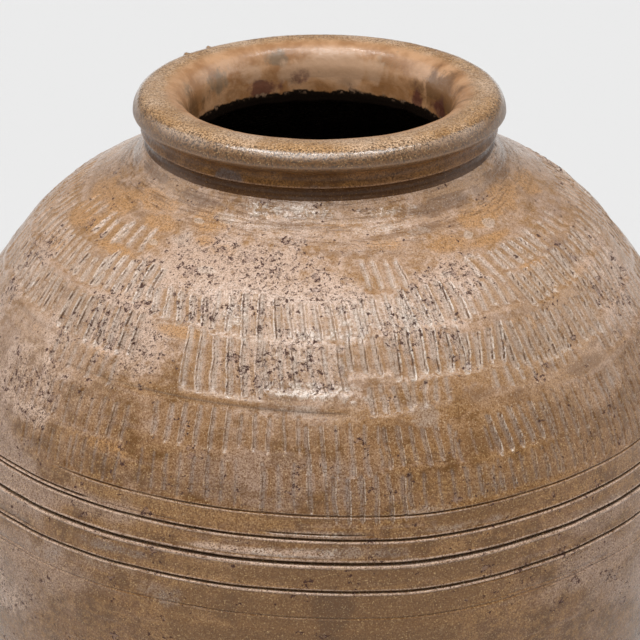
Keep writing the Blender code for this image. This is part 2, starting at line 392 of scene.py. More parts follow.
def paddle_marks(angle, reach):
    """Depth of the paddle's grooves below the wall, height of the burrs beside them, depth of
    the dents under whole blows, where a painted shadow lies along each groove's steep side, and the ridges."""
    depth, burr, dent, dark, ridge = (np.zeros_like(angle) for _ in range(5))
    draw = np.random.default_rng(7)
    wobble = hills(angle, reach, 0.009, 77) * WOBBLE
    for start, end, top, foot, lean, strength in blows:
        half = GROOVE_HALF if top < NARROW_BELOW else NARROW_HALF
        top, foot = TABLE_START + top * MM, TABLE_START + foot * MM
        middle, half_turn = (start + end) / 2, (end - start) / 2
        turn = signed_turn(angle, middle)
        near = np.flatnonzero((abs(turn) < half_turn + 4)
                              & (reach > top - DENT_EDGE) & (reach < foot + DENT_EDGE * 1.5))
        lengths = draw.uniform(-0.0014, 0.0014, (MOST_GROOVES, 2))
        depths = draw.uniform(0.65, 1.0, MOST_GROOVES)
        if not len(near):
            continue
        across_middle = float(np.interp(height_at((top + foot) / 2), ladder, ladder_radius))
        width = math.radians(end - start) * across_middle
        count = max(2, round(width / GROOVE_PITCH) + 1)
        along = reach[near] - (top + foot) / 2
        lay = np.radians(turn[near]) * across_middle + along * math.tan(math.radians(lean))
        lay = lay + wobble[near] + width / 2
        pitch = width / (count - 1)
        which = np.clip(np.round(lay / pitch), 0, count - 1).astype(int)
        beside = lay - which * pitch
        side = beside * np.sign(middle) / half
        inside = np.minimum(reach[near] - top - lengths[which, 0],
                            foot + lengths[which, 1] - reach[near])
        ends = eased(inside, -END_EASE / 2, END_EASE / 2)
        hollow = eased(side, -1.20, 0.35) * (1 - eased(side, 0.66, 1.10))
        side_lip = np.exp(-((side - 1.30) / 0.32) ** 2)
        below = reach[near] - foot - lengths[which, 1] - END_EASE * 0.4
        foot_lip = np.exp(-(below / END_EASE * 2) ** 2) * np.exp(-((side - 0.4) / 0.8) ** 4)
        press = strength ** 0.6 * depths[which] * (half / GROOVE_HALF) ** 0.8
        lip = np.maximum(side_lip * ends, foot_lip)
        depth[near] = np.maximum(depth[near], press * ends * hollow * GROOVE_DEPTH)
        pushed = press * lip * (0.35 + 0.65 * strength ** 2)
        burr[near] = np.maximum(burr[near], pushed * GROOVE_DEPTH * BURR_SHARE)
        from_side = abs(lay - width / 2) - width / 2
        sink = eased(reach[near], top - DENT_EDGE, foot)
        sink = sink * (1 - eased(reach[near], foot, foot + DENT_EDGE))
        sink = sink * (1 - eased(from_side, 0, DENT_EDGE * 1.5))
        dent[near] = np.maximum(dent[near], strength * sink * DENT_DEPTH * (half / GROOVE_HALF) ** 3)
        far_side = np.exp(-((side - 0.90) / 0.20) ** 2)
        dark[near] = np.maximum(dark[near], press * ends * far_side)
        within = (1 - eased(from_side, 0.001, 0.003)) * ends
        ridge[near] = np.maximum(ridge[near], press * within * eased(abs(side), 1.15, 1.65))
    return depth, burr, dent, dark, ridge

# %% [markdown]
# The five rings round the girth were cut with a pointed tool. Each is a V with a lip of clay
# pushed up below it and a lower lip above. Here and there the tool was set down twice, which
# leaves a second strand beside the first. The top ring goes only part of the way round.

# %% Cut the rings
# Width and depth of each ring, in metres
RING_CUTS = ((0.0011, 0.0009), (0.0015, 0.0015), (0.0021, 0.0021), (0.0016, 0.0015),
             (0.0011, 0.00045))
# Second strands: ring, from and to angle, offset up the wall, and size beside the ring's own
STRANDS = ((1, -104, -34, 0.0021, 0.75), (1, -34, -20, 0.0024, 0.30), (1, -9, 8, 0.0026, 0.55),
           (2, -34, -29, -0.0030, 0.45), (3, -60, -44, 0.0022, 0.40), (3, 20, 34, -0.0022, 0.30),
           (4, -80, -42, 0.0018, 0.70), (4, 22, 48, 0.0020, 0.60), (1, 150, 176, 0.0024, 0.50),
           (3, 118, 141, -0.0026, 0.45), (2, -160, -148, 0.0028, 0.50), (2, 84, 112, 0.0026, 0.40))
# Clay pushed up above a ring: ring, from and to angle, offset up the wall, height, half width
SWELLS = ((2, -20, 4, 0.0042, 0.00045, 0.0011), (1, -8, 6, 0.0043, 0.00030, 0.0008),
          (1, -100, -36, 0.0010, 0.00035, 0.0005), (2, 130, 160, 0.0040, 0.00040, 0.0011))
# Where the top ring is missing: middle, half turn of the bare part, half turn where it is whole
TOP_RING_GAP = (220, 96, 104)
RING_WAVER = 0.00035
LIP_SHARE = 0.22


def cut(gap, width, depth, strength):
    """One V-shaped cut, with lips on both sides. The gap is the distance above the cut."""
    hollow = np.clip(1 - abs(gap) / (width / 2), 0, 1) ** 0.8
    lip = np.exp(-((gap + width * 0.75) / (width * 0.30)) ** 2)
    lip = lip + 0.6 * np.exp(-((gap - width * 0.75) / (width * 0.30)) ** 2)
    return strength * depth * hollow, strength * depth * LIP_SHARE * lip


def ring_cuts(angle, reach):
    """Depth of the cut rings below the wall, and height of the lips beside them."""
    depth, lip = np.zeros_like(angle), np.zeros_like(angle)
    uneven = 0.85 + 0.32 * layered_hills(angle, reach * 0, 0.030, 15)
    waver = RING_WAVER * hills(angle, reach * 0, 0.022, 17)
    strokes = [(ring, None, None, 0, 1.0) for ring in range(len(RING_CUTS))] + list(STRANDS)
    for ring, start, end, offset, size in strokes:
        width, deep = RING_CUTS[ring]
        width, deep = width * size ** 0.5, deep * size
        strength = uneven
        if start is not None:
            turn = abs(signed_turn(angle, (start + end) / 2))
            strength = uneven * (1 - eased(turn, (end - start) / 2 - 3, (end - start) / 2))
        elif ring == 0:
            middle, bare, whole = TOP_RING_GAP
            strength = uneven * eased(abs(signed_turn(angle, middle)), bare, whole)
        gap = ring_reach[ring] - offset - reach + waver * (1 + 0.5 * ring) / 2
        hollow, push = cut(gap, width, deep, strength)
        depth, lip = np.maximum(depth, hollow), np.maximum(lip, push)
    for ring, start, end, offset, lift, half in SWELLS:
        turn = abs(signed_turn(angle, (start + end) / 2))
        within = 1 - eased(turn, (end - start) / 2 - 5, (end - start) / 2)
        gap = ring_reach[ring] - offset - reach
        lip = np.maximum(lip, within * lift * np.exp(-(gap / half) ** 2))
    return depth, lip

# %% [markdown]
# The wall as a whole: fine throwing rings close to the collar, the half-smoothed joint between
# the shoulder's two courses, the paddle's work, the cut rings, and slow unevenness from the
# hand. All of it is taken inwards from the imported model's outline, so the pot stays inside its
# size. The marks are kept for the glaze, which gathers in hollows and thins on edges, and for the
# painted shade and painted highlight that the glaze lays on them.

# %% Work the wall
THROWING_REACH, THROWING_PITCH, THROWING_DEPTH = 0.026, 0.0027, 0.00010
# Two incised lines below the collar: distance down the wall and depth, and the half width of both
FIRST_LINE, SECOND_LINE, LINE_HALF = (0.0105, 0.00040), (0.0168, 0.00025), 0.00050
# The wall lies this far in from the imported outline, and its slow and fine hills go further in
SLACK, SLOW_DEPTH, FINE_DEPTH = 0.0005, 0.00040, 0.00014
CUT_FULL = 0.0012
CREASE_DEPTH, CREASE_HALF = 0.00028, 0.0015
STEP_DEPTH, STEP_REACH = 0.00045, 0.006
# Where the joint shows: middle, half turn of its full depth, half turn where it ends, and share
JOINT_SHOWS = ((-14, 14, 24, 1.0), (150, 20, 34, 0.8))
shoulder_joint = float(reach_at(SHOULDER_SEAM))


def throwing_rings(angle, reach):
    """Fine rings left by fingers next to the collar, with two deeper incised lines."""
    drift = hills(angle, reach * 0, 0.05, 23) * 0.0004
    fade = 1 - eased(reach, THROWING_REACH * 0.5, THROWING_REACH)
    ripple = THROWING_DEPTH * (1 + np.sin((reach + drift) * 2 * math.pi / THROWING_PITCH)) * fade
    ripple = ripple * (0.5 + 0.5 * eased(abs(np.degrees(angle)), 15, 40))
    first = FIRST_LINE[1] * np.exp(-((reach - FIRST_LINE[0] - drift) / LINE_HALF) ** 2)
    second = SECOND_LINE[1] * np.exp(-((reach - SECOND_LINE[0] + drift) / LINE_HALF) ** 2)
    return ripple + first + second * eased(np.degrees(angle), 0, 25)


def joint_crease(angle, reach):
    """The crease of the joint in the shoulder, and the step below it."""
    gap = reach - shoulder_joint
    drawn = np.zeros_like(angle)
    for middle, full, gone, share in JOINT_SHOWS:
        drawn = np.maximum(drawn, share * (1 - eased(abs(signed_turn(angle, middle)), full, gone)))
    step = STEP_DEPTH * eased(gap, -0.001, 0.001) * np.exp(-np.clip(gap, 0, 1) / STEP_REACH)
    return drawn * np.exp(-(gap / CREASE_HALF) ** 2), drawn * step


def work_wall(mesh):
    """Shapes the outer side of a course, and keeps its marks for the glaze."""
    points = points_of(mesh)
    angle, radius = polar(points)
    height = points[:, 2]
    outer = radius > np.interp(height, ladder, ladder_radius) - HAIRLINE
    reach = reach_at(height)
    settled = reach - settle(angle, reach)
    grooves, burrs, dents, walls, ridges = paddle_marks(angle, settled)
    cuts, lips = ring_cuts(angle, reach)
    slow = SLOW_DEPTH * (1 + layered_hills(angle, reach, 0.045, 3, 1.6))
    fine = FINE_DEPTH * (1 + layered_hills(angle, reach, 0.012, 9, 1.4))
    away = eased(reach, 0, 0.030)
    depth = (slow + fine + SLACK) * away + throwing_rings(angle, reach)
    crease, step = joint_crease(angle, reach)
    depth = depth + dents + grooves - burrs + cuts - lips + crease * CREASE_DEPTH + step
    new_radius, new_height = wall_place(height + settle(angle, reach), depth)
    put_points(mesh, angle, np.where(outer, new_radius, radius),
               np.where(outer, new_height, height))
    marks = {"groove": grooves / GROOVE_DEPTH, "burr": burrs / (GROOVE_DEPTH * BURR_SHARE),
             "groove_wall": walls, "ridge": ridges, "cut": cuts / CUT_FULL,
             "lip": lips / (CUT_FULL * LIP_SHARE), "crease": crease}
    for name, values in marks.items():
        note_mark(mesh, name, np.where(outer, values, 0))
    # The inner side is marked so that the glaze paints it near black: painted shade of the pot's dark inside
    note_mark(mesh, "inside", np.where(outer, 0, 1))
    note_mark(mesh, "reach", reach)
    note_stains(mesh, angle, settled)

# %% [markdown]
# Wood ash fell on the shoulder and melted there unevenly. The stains that matter are listed,
# an entry for each: middle angle in degrees, middle in millimetres down the wall, half
# width, half height and strength. Soft edges and the glaze's own noise do the rest.

# %% Set out the stains
STAINS = {
    "bloom": ((-18, 30, 30, 34, 1.0), (-6, 40, 22, 22, 0.8), (-38, 66, 12, 32, 0.9), (-6, 70, 16, 24, 0.8),
              (-64, 232, 20, 22, 0.7), (30, 36, 9, 16, 1.0), (-52, 108, 10, 34, 0.7), (18, 58, 12, 22, 0.8),
              (-70, 70, 10, 40, 0.6), (12, 92, 14, 8, 0.4), (68, 70, 16, 30, 0.6),
              (120, 40, 26, 30, 0.8), (175, 60, 30, 26, 0.7), (-130, 50, 24, 36, 0.8)),
    "rust": ((-65, 12, 11, 10, 1.0), (-55, 2, 10, 8, 1.0), (-46, 13, 8, 7, 0.9), (-60, 27, 9, 9, 0.9),
             (-50, 35, 8, 5, 1.0), (-44, 25, 5, 7, 0.7), (-72, 30, 7, 10, 0.9), (-32, 4, 7, 10, 1.0),
             (-30, 15, 4, 5, 0.8), (-26, 66, 7, 4, 0.8), (-34, 128, 7, 6, 0.7), (-14, -5, 5, 3, 0.7),
             (48, 8, 14, 7, 1.0), (64, 6, 12, 8, 0.9), (45, 21, 10, 4, 1.0), (50, 43, 7, 5, 1.0),
             (34, 16, 10, 6, 0.8), (16, 11, 6, 4, 0.7), (5, 0, 7, 4, 0.7), (38, 70, 7, 6, 0.6),
             (-68, 50, 9, 6, 0.6), (-40, 88, 8, 5, 0.5), (-57, 90, 6, 5, 0.4), (-24, 18, 5, 5, 0.5),
             (8, 28, 6, 5, 0.5), (58, 60, 7, 6, 0.5), (-78, 15, 8, 9, 0.8), (80, 12, 9, 9, 0.8),
             (150, 22, 18, 9, 0.9), (136, 12, 12, 7, 0.8), (166, 34, 10, 6, 0.7),
             (-100, 30, 14, 8, 0.8), (-112, 16, 16, 8, 0.9), (-94, 48, 8, 6, 0.6),
             (108, 66, 9, 7, 0.6), (-146, 74, 10, 6, 0.6), (-170, 14, 12, 8, 0.7)),
    "ochre": ((0, 205, 34, 34, 1.0), (-10, 182, 26, 8, 0.8), (-14, 124, 26, 16, 0.5),
              (22, 91, 15, 7, 1.0), (13, 128, 15, 5, 0.5), (32, 110, 16, 22, 0.7),
              (30, 128, 12, 5, 0.9), (45, 100, 11, 6, 0.9), (-20, 150, 24, 6, 0.9), (-25, 162, 16, 5, 0.8),
              (24, 150, 26, 12, 0.7), (-22, 96, 16, 5, 0.8), (0, 176, 34, 12, 0.8), (38, 136, 16, 12, 0.7),
              (34, 86, 22, 18, 1.0), (14, 101, 16, 9, 0.9), (52, 58, 13, 20, 0.8), (40, 52, 12, 10, 0.6),
              (24, 138, 22, 12, 0.9), (12, 118, 16, 8, 0.8), (-30, 66, 12, 5, 0.6), (-44, 128, 14, 8, 0.5),
              (100, 110, 24, 40, 0.8), (-160, 110, 30, 40, 0.8),
              (-52, -9, 14, 6, 1.0), (50, -9, 18, 6, 1.0), (-38, 64, 12, 12, 0.8)),
    # The umber spots just under the collar, middles from -8 to 6 mm, are painted shade of the roll; the
    # other umber spots are stains
    "umber": ((32, 118, 14, 10, 0.8), (38, 76, 10, 14, 0.6), (60, 46, 8, 14, 0.6), (46, 128, 14, 8, 0.7),
              (28, 142, 14, 4, 0.7), (-16, 138, 18, 3, 0.6), (2, 148, 14, 4, 0.6), (4, 170, 16, 2, 0.8),
              (13, 178, 20, 6, 1.0), (-4, 177, 12, 5, 0.9), (2, 196, 28, 13, 1.0), (0, 212, 24, 16, 1.0),
              (24, 152, 15, 5, 0.9), (48, 100, 8, 5, 0.8), (33, 103, 4, 7, 0.6), (12, 106, 6, 6, 0.5),
              (-24, 177, 22, 4, 0.6), (52, 112, 3, 9, 0.7), (27, 97, 10, 5, 0.5), (-38, -6, 12, 3, 0.9),
              (44, -3, 18, 5, 1.0), (72, -4, 14, 6, 0.9), (-62, -8, 14, 4, 0.8), (38, 6, 22, 2, 0.7),
              (92, -4, 16, 6, 0.8), (-88, -6, 16, 5, 0.8), (150, 190, 26, 26, 0.8), (-120, 200, 24, 26, 0.8),
              (130, 150, 16, 8, 0.6), (-150, 130, 14, 8, 0.5), (180, -6, 50, 4, 0.8)),
    "blue": ((-28, 0, 6, 4, 1.0), (-37, 16, 5, 7, 0.5), (-36, 38, 3, 12, 0.4), (19, 2, 3, 3, 0.7),
             (27, 7, 5, 3, 0.6), (16, 102, 3, 10, 0.7), (3, 132, 4, 14, 0.5), (-5, 97, 7, 3, 0.6),
             (24, 136, 3, 14, 0.5), (10, 166, 5, 4, 0.8), (3, 165, 6, 4, 0.7), (-8, 164, 12, 2, 0.4),
             (20, 157, 12, 3, 0.6), (-43, 192, 5, 5, 0.5), (-24, 193, 5, 7, 0.5), (45, 170, 10, 4, 0.5),
             (13, 172, 4, 3, 0.9), (-30, 176, 10, 3, 0.6),
             (15, 148, 8, 4, 0.5), (53, 112, 6, 7, 0.5), (-44, 150, 8, 4, 0.5), (57, 27, 4, 4, 0.5),
             (-34, 186, 12, 4, 0.5), (-22, 166, 12, 3, 0.4),
             (130, 120, 14, 16, 0.6), (-150, 150, 18, 10, 0.6), (170, 20, 12, 8, 0.5)),
    "dusk": ((2, 197, 3, 14, 0.9), (14, 185, 3, 2, 0.8), (1, 216, 3, 26, 0.8), (17, 98, 3, 3, 0.5),
             (20, 140, 3, 4, 0.6), (-13, 196, 2, 12, 0.5), (-24, 150, 8, 3, 0.4), (40, 172, 16, 5, 0.4),
             (150, 190, 8, 20, 0.7), (-120, 200, 6, 20, 0.6)),
    # These pale pinkish grey spots are partly real in the glaze and partly painted sheen on the sides, where
    # the glaze reflects pale surroundings
    "haze_and_sheen": ((-6, 128, 24, 22, 0.85), (72, 26, 10, 12, 0.8), (72, 160, 12, 50, 0.9),
             (-24, 112, 10, 12, 0.6), (-60, 214, 26, 34, 0.9), (60, 214, 26, 36, 1.0),
             (-64, 130, 16, 60, 0.9), (72, 110, 14, 60, 0.6), (-52, 160, 16, 26, 1.0),
             (-36, 158, 16, 8, 0.8), (-26, 140, 10, 10, 0.6),
             (-44, 198, 18, 14, 0.8), (-20, 170, 12, 4, 0.5), (42, 200, 16, 18, 0.9), (46, 176, 14, 8, 0.8),
             (-8, 112, 12, 10, 0.5), (110, 220, 30, 40, 0.8), (-110, 215, 30, 40, 0.8),
             (180, 225, 40, 40, 0.7)),
    # These spots are glossier glaze, and their pale clumps are painted glints where the highlights fall
    "gloss_and_glint": ((0, 60, 10, 5, 1.0), (22, 82, 10, 3, 0.5), (-1, 88, 10, 6, 1.0), (5, 92, 5, 4, 0.8),
              (-12, -7, 22, 5, 1.0), (16, -6, 16, 4, 0.75), (-5, 165, 11, 3, 0.9), (0, 156, 8, 2, 0.8),
              (-31, 58, 3, 8, 0.7), (-66, 72, 1, 12, 1.0), (-16, 54, 5, 9, 0.8), (12, 52, 18, 12, 0.7),
              (22, 72, 12, 10, 0.5), (0, 74, 12, 10, 0.6), (140, 60, 9, 5, 0.8), (-110, 84, 10, 4, 0.7)),
    "blister": ((40, 15, 2.2, 2.6, 1.0), (49, 13, 2.4, 2.8, 1.0), (28, 33, 1.8, 2.2, 0.9),
                (36, 27, 1.8, 2.2, 0.9), (-43, 24, 1.8, 2.4, 0.8), (-35, 5, 2.4, 2.0, 0.8),
                (-26, 32, 2.6, 2.4, 0.8), (128, 30, 2.4, 2.4, 1.0), (-136, 44, 2.2, 2.4, 0.9)),
}


def stain(angle, down, spots):
    """How strongly a set of spots colours each point, from 0 to 1."""
    total = np.zeros_like(angle)
    rag_across = layered_hills(angle, down * MM, 0.022, 301) * 0.35
    rag_down = layered_hills(angle, down * MM, 0.012, 401) * 0.25
    for turn, middle, half_turn, half_height, strength in spots:
        off = np.hypot(signed_turn(angle, turn) / half_turn, (down - middle) / half_height)
        spot = strength * (1 - eased(off + rag_across + rag_down, 0.35, 1.25))
        total = np.maximum(total, spot)
    return total


def note_stains(mesh, angle, reach):
    down = (reach - TABLE_START) / MM
    for name, spots in STAINS.items():
        note_mark(mesh, name, stain(angle, down, spots))

# %% [markdown]
# Now the six courses of wall. Rows of points are close where the work is fine: across each
# cut ring, and under the paddle. Inside there is only a plain wall, so a few rows do.

# %% Turn the courses of the wall
RING_ROWS = (-1.5, -1.1, -0.8, -0.5, -0.25, 0, 0.25, 0.5, 0.8, 1.2)
CLOSEST_ROWS = 0.00018
INNER_ROWS = 6
body_pieces = {}


def rows_round_rings():
    """Heights of the rows that each ring, and each second strand, needs across it."""
    rows = []
    for ring, (width, _) in enumerate(RING_CUTS):
        rows += [float(height_at(ring_reach[ring] - width * step)) for step in RING_ROWS]
    for ring, _, _, offset, size in STRANDS:
        middle = ring_reach[ring] - offset
        width = RING_CUTS[ring][0] * size ** 0.5
        rows += [float(height_at(middle - width * step)) for step in (-0.8, -0.4, 0, 0.4, 0.8)]
    return rows


def course(node, low, high, spacing, columns, flat_foot=False):
    """A ring of wall between two seams that slope down inwards, worked on its outer side."""
    outer = with_rows(wall_rows(low + HAIRLINE, high, spacing), rows_round_rings(), CLOSEST_ROWS)
    foot = low + HAIRLINE if flat_foot else low + HAIRLINE - SCARF_DROP
    top = NECK_HEIGHT if high == NECK_HEIGHT else high - SCARF_DROP
    inner_radius, inner_height = wall_place(np.linspace(foot, top, INNER_ROWS), WALL)
    if flat_foot:
        inner_height[0] = foot
    outer_radius, outer_height = wall_place(outer, 0)
    piece = turned(node, np.concatenate([outer_radius, inner_radius[::-1]]),
                   np.concatenate([outer_height, inner_height[::-1]]), columns)
    work_wall(piece.data)
    body_pieces[node] = piece
    print(node, len(outer), "rows outside,", 2 * columns * (len(outer) + INNER_ROWS), "triangles")
    return piece


course("foot_wall_course", SLAB_TOP, FOOT_SEAM, 0.0026, 900, flat_foot=True)
course("lower_belly_course", FOOT_SEAM, BELLY_SEAM, 0.0024, 900)
course("upper_belly_course", BELLY_SEAM, GIRTH_SEAM, 0.0022, 1000)
course("ringed_girth_course", GIRTH_SEAM, RING_SEAM, 0.0026, 1050)
course("lower_shoulder_course", RING_SEAM, SHOULDER_SEAM, 0.0011, 1600)
course("upper_shoulder_course", SHOULDER_SEAM, NECK_HEIGHT, 0.0013, 1080)

# %% [markdown]
# The base slab is bare clay, cut from a slab and never glazed, so that the pot wouldn't stick
# in the kiln. Its side carries on the wall's outline.

# %% Turn the base slab
SLAB_EDGE_BEVEL = 0.0025
SLAB_ROWS = 7
SLAB_COLUMNS = 720
SLAB_ROUGH = 0.0004


def base_slab():
    side_rows = np.linspace(SLAB_EDGE_BEVEL, SLAB_TOP, SLAB_ROWS)
    side_radius = wall_place(side_rows, 0)[0]
    rings = np.linspace(0, FOOT_RADIUS - SLAB_EDGE_BEVEL, SLAB_ROWS)
    radii = np.concatenate([rings, side_radius, rings[::-1]])
    heights = np.concatenate([rings * 0, side_rows, rings * 0 + SLAB_TOP])
    piece = turned("base_slab", radii, heights, SLAB_COLUMNS, on_axis=True)
    points = points_of(piece.data)
    angle, radius = polar(points)
    side = (points[:, 2] > 0) & (radius > FOOT_RADIUS - SLAB_EDGE_BEVEL)
    rough = SLAB_ROUGH * (1 + layered_hills(angle, reach_at(points[:, 2]), 0.010, 61, 1.8))
    put_points(piece.data, angle, np.where(side, radius - rough, radius), points[:, 2])
    return piece


body_pieces["base_slab"] = base_slab()
print("base slab:", len(body_pieces["base_slab"].data.polygons), "faces")

# %% [markdown]
# The collar: a waist under the roll, a thin ridge, an undercut, and the joint with the
# shoulder. Its flange goes down inside the mouth and was left ragged, with slip squeezed out
# under it, and that edge shows against the dark of the pot.

# %% Turn the collar
COLLAR_COLUMNS = 1000
COLLAR_ROWS, LINING_ROWS = 34, 16
RIDGE_HEIGHT = 0.0020
RIDGE_DROP = 0.0118
RIDGE_REACH = TUCK_RADIUS - NECK_RADIUS
UNDERCUT_DEPTH = 0.0011
MOUTH_EDGE = 0.0015
MOUTH_SQUARENESS = 3.0
RAGGED_EDGE = 0.0030
RAGGED_DROP = 0.0022
BULGE = 0.0004
WEAR_DEPTH, WEAR_GRAIN = 0.00018, 0.00006
# Inside the collar light reaches down to the first height, and the third is all black
LIT_DOWN_TO, BLACK_BELOW, BLACK_FULL = 0.4054, 0.4005, 0.3990


def mouth_radius(height):
    """The mouth's radius: upright below the throat, and a squarish quarter round above it."""
    lift = np.clip((height - THROAT_HEIGHT) / (POT_HEIGHT - THROAT_HEIGHT), 0, 1)
    inward = (1 - lift ** MOUTH_SQUARENESS) ** (1 / MOUTH_SQUARENESS)
    return CREST_RADIUS - (CREST_RADIUS - MOUTH_RADIUS) * inward


# Some mouth stains follow the light: umber on the sides is partly painted shade, and tan at the back is
# partly painted light where the lining faces the lamps
MOUTH_STAINS = {
    "blue": ((-28, 0.4100, 8, 0.0060, 1.0), (0, 0.4085, 5, 0.0050, 0.9), (1, 0.4195, 10, 0.0045, 0.8),
             (-19, 0.4190, 9, 0.0040, 0.8), (70, 0.4240, 20, 0.0050, 0.4), (160, 0.4200, 18, 0.006, 0.6)),
    "maroon": ((-153, 0.4080, 10, 0.0070, 1.0), (112, 0.4080, 9, 0.0100, 0.9),
               (130, 0.4060, 8, 0.0110, 1.0), (-172, 0.4130, 6, 0.0060, 0.5),
               (-30, 0.4050, 14, 0.0080, 0.6), (-6, 0.4290, 5, 0.0030, 0.4)),
    "umber": ((105, 0.4150, 30, 0.0160, 1.0), (75, 0.4150, 26, 0.0160, 1.0), (128, 0.4120, 12, 0.0100, 0.7),
              (-105, 0.4140, 20, 0.0120, 0.8), (-80, 0.4160, 20, 0.0120, 0.8)),
    "tan": ((172, 0.4170, 36, 0.0100, 1.0), (-145, 0.4180, 14, 0.0080, 0.7)),
    "smoke": ((-161, 0.4230, 8, 0.0060, 1.0), (-128, 0.4180, 9, 0.0070, 0.8), (148, 0.4230, 8, 0.0050, 0.6),
              (-100, 0.4230, 12, 0.0050, 0.5)),
}


def note_mouth_stains(mesh, angle, height):
    """The stains of the rim and the collar, placed by height, in metres."""
    for name, spots in MOUTH_STAINS.items():
        scaled = [(turn, middle / MM, half_turn, half_height / MM, strength)
                  for turn, middle, half_turn, half_height, strength in spots]
        note_mark(mesh, name, stain(angle, height / MM, scaled))


def neck_collar():
    ridge = ROLL_EDGE_HEIGHT - RIDGE_DROP
    below = ridge - RIDGE_HEIGHT / 2
    knots = ((NECK_HEIGHT + HAIRLINE, 0), ((NECK_HEIGHT + below) / 2, -UNDERCUT_DEPTH),
             (below, -0.0001), (ridge, RIDGE_REACH), (ridge + RIDGE_HEIGHT / 2, RIDGE_REACH * 0.90),
             (ridge + RIDGE_HEIGHT * 2, RIDGE_REACH * 0.48), (TUCK_HEIGHT, RIDGE_REACH * 0.95))
    rows = np.linspace(NECK_HEIGHT + HAIRLINE, TUCK_HEIGHT, COLLAR_ROWS)
    rows = np.sort(np.append(rows, ridge))
    inner = np.linspace(TUCK_HEIGHT - SCARF_DROP, NECK_HEIGHT - RAGGED_EDGE, LINING_ROWS)
    seat_radius, seat_height = wall_place(np.array([NECK_HEIGHT]), WALL)
    under = [MOUTH_RADIUS + MOUTH_EDGE, float(seat_radius[0])]
    under_height = [NECK_HEIGHT - RAGGED_EDGE - MOUTH_EDGE, float(seat_height[0]) + HAIRLINE]
    radii = np.concatenate([NECK_RADIUS + smooth_through(knots, rows), mouth_radius(inner), under])
    heights = np.concatenate([rows, inner, under_height])
    piece = turned("neck_collar", radii, heights, COLLAR_COLUMNS)
    points = points_of(piece.data)
    angle, radius = polar(points)
    height = points[:, 2]
    seat = abs(radius - seat_radius[0]) < JOIN
    outside = (radius > (NECK_RADIUS + MOUTH_RADIUS) / 2) & ~seat
    inside = ~outside & ~seat
    free = eased(height, NECK_HEIGHT, NECK_HEIGHT + 0.002)
    free = free * (1 - eased(height, TUCK_HEIGHT - 0.001, TUCK_HEIGHT))
    wear = WEAR_DEPTH * (1 + layered_hills(angle, height, 0.012, 71, 3.0))
    wear = wear + WEAR_GRAIN * (1 + layered_hills(angle, height, 0.004, 75))
    low_edge = eased(-height, -(NECK_HEIGHT + 0.001), -(NECK_HEIGHT - RAGGED_EDGE))
    torn = 0.3 + 0.7 * eased(hills(angle, height * 0, 0.070, 83), -0.1, 0.5)
    rag = layered_hills(angle, height * 0, 0.022, 81, 1.0, 4) * low_edge * torn
    drop = RAGGED_DROP * rag * inside
    seam = 1 - eased(height, TUCK_HEIGHT - SCARF_DROP - 0.003, TUCK_HEIGHT - SCARF_DROP)
    bulge = BULGE * (hills(angle, height, 0.018, 85, 1.2) * seam * inside + low_edge)
    put_points(piece.data, angle, np.where(outside, radius - wear * free, radius + bulge),
               height + drop)
    inner_side = (~outside).astype(float)
    note_mark(piece.data, "mouth", inner_side)
    # Below the lit lining the inside is painted shade, near black where no light reaches
    note_mark(piece.data, "inside", inner_side * eased(-height - drop, -BLACK_BELOW, -BLACK_FULL))
    note_mark(piece.data, "shade", inner_side * (LIT_DOWN_TO - height) / MM)
    # How far the collar lies in under the roll, for the painted shade of its waist and undercut
    note_mark(piece.data, "recess_shade", outside * np.clip((TUCK_RADIUS - radius) / RIDGE_REACH, 0, 1.4))
    # A thin band along the ridge, which the glaze paints tan as a painted highlight
    note_mark(piece.data, "edge", outside * np.exp(-((height - ridge) / 0.0009) ** 2))
    note_mouth_stains(piece.data, angle, height)
    return piece


body_pieces["neck_collar"] = neck_collar()
print("collar:", len(body_pieces["neck_collar"].data.polygons), "faces")

# %% [markdown]
# The rim: a fat roll with a crisp lower edge, which opens inwards into a funnel. It has a few
# nicks, two blobs of kiln grit stuck on its far side, and the soft lumps of clay that was
# rolled by hand.

# %% Turn the rolled rim
RIM_COLUMNS = 1200
ROLL_EDGE = 0.0022
ROLL_SAG = 0.0018
ROLL_ROWS = 26
ROLL_HALF = 0.013
LUMP_DEPTH, GRAIN_DEPTH = 0.00028, 0.00004
FUNNEL_ROWS = 30
# Grit and nicks: angle in degrees, radius, half width, and height above or below the clay
RIM_MARKS = ((-129, 0.0905, 0.0016, 0.0012), (-139, 0.0900, 0.0013, 0.0012),
             (26, 0.0762, 0.0012, -0.0012), (23, 0.0755, 0.0010, -0.0008),
             (-34, 0.0748, 0.0016, -0.0007), (140, 0.0800, 0.0014, -0.0008),
             (75, 0.0905, 0.0012, -0.0006))


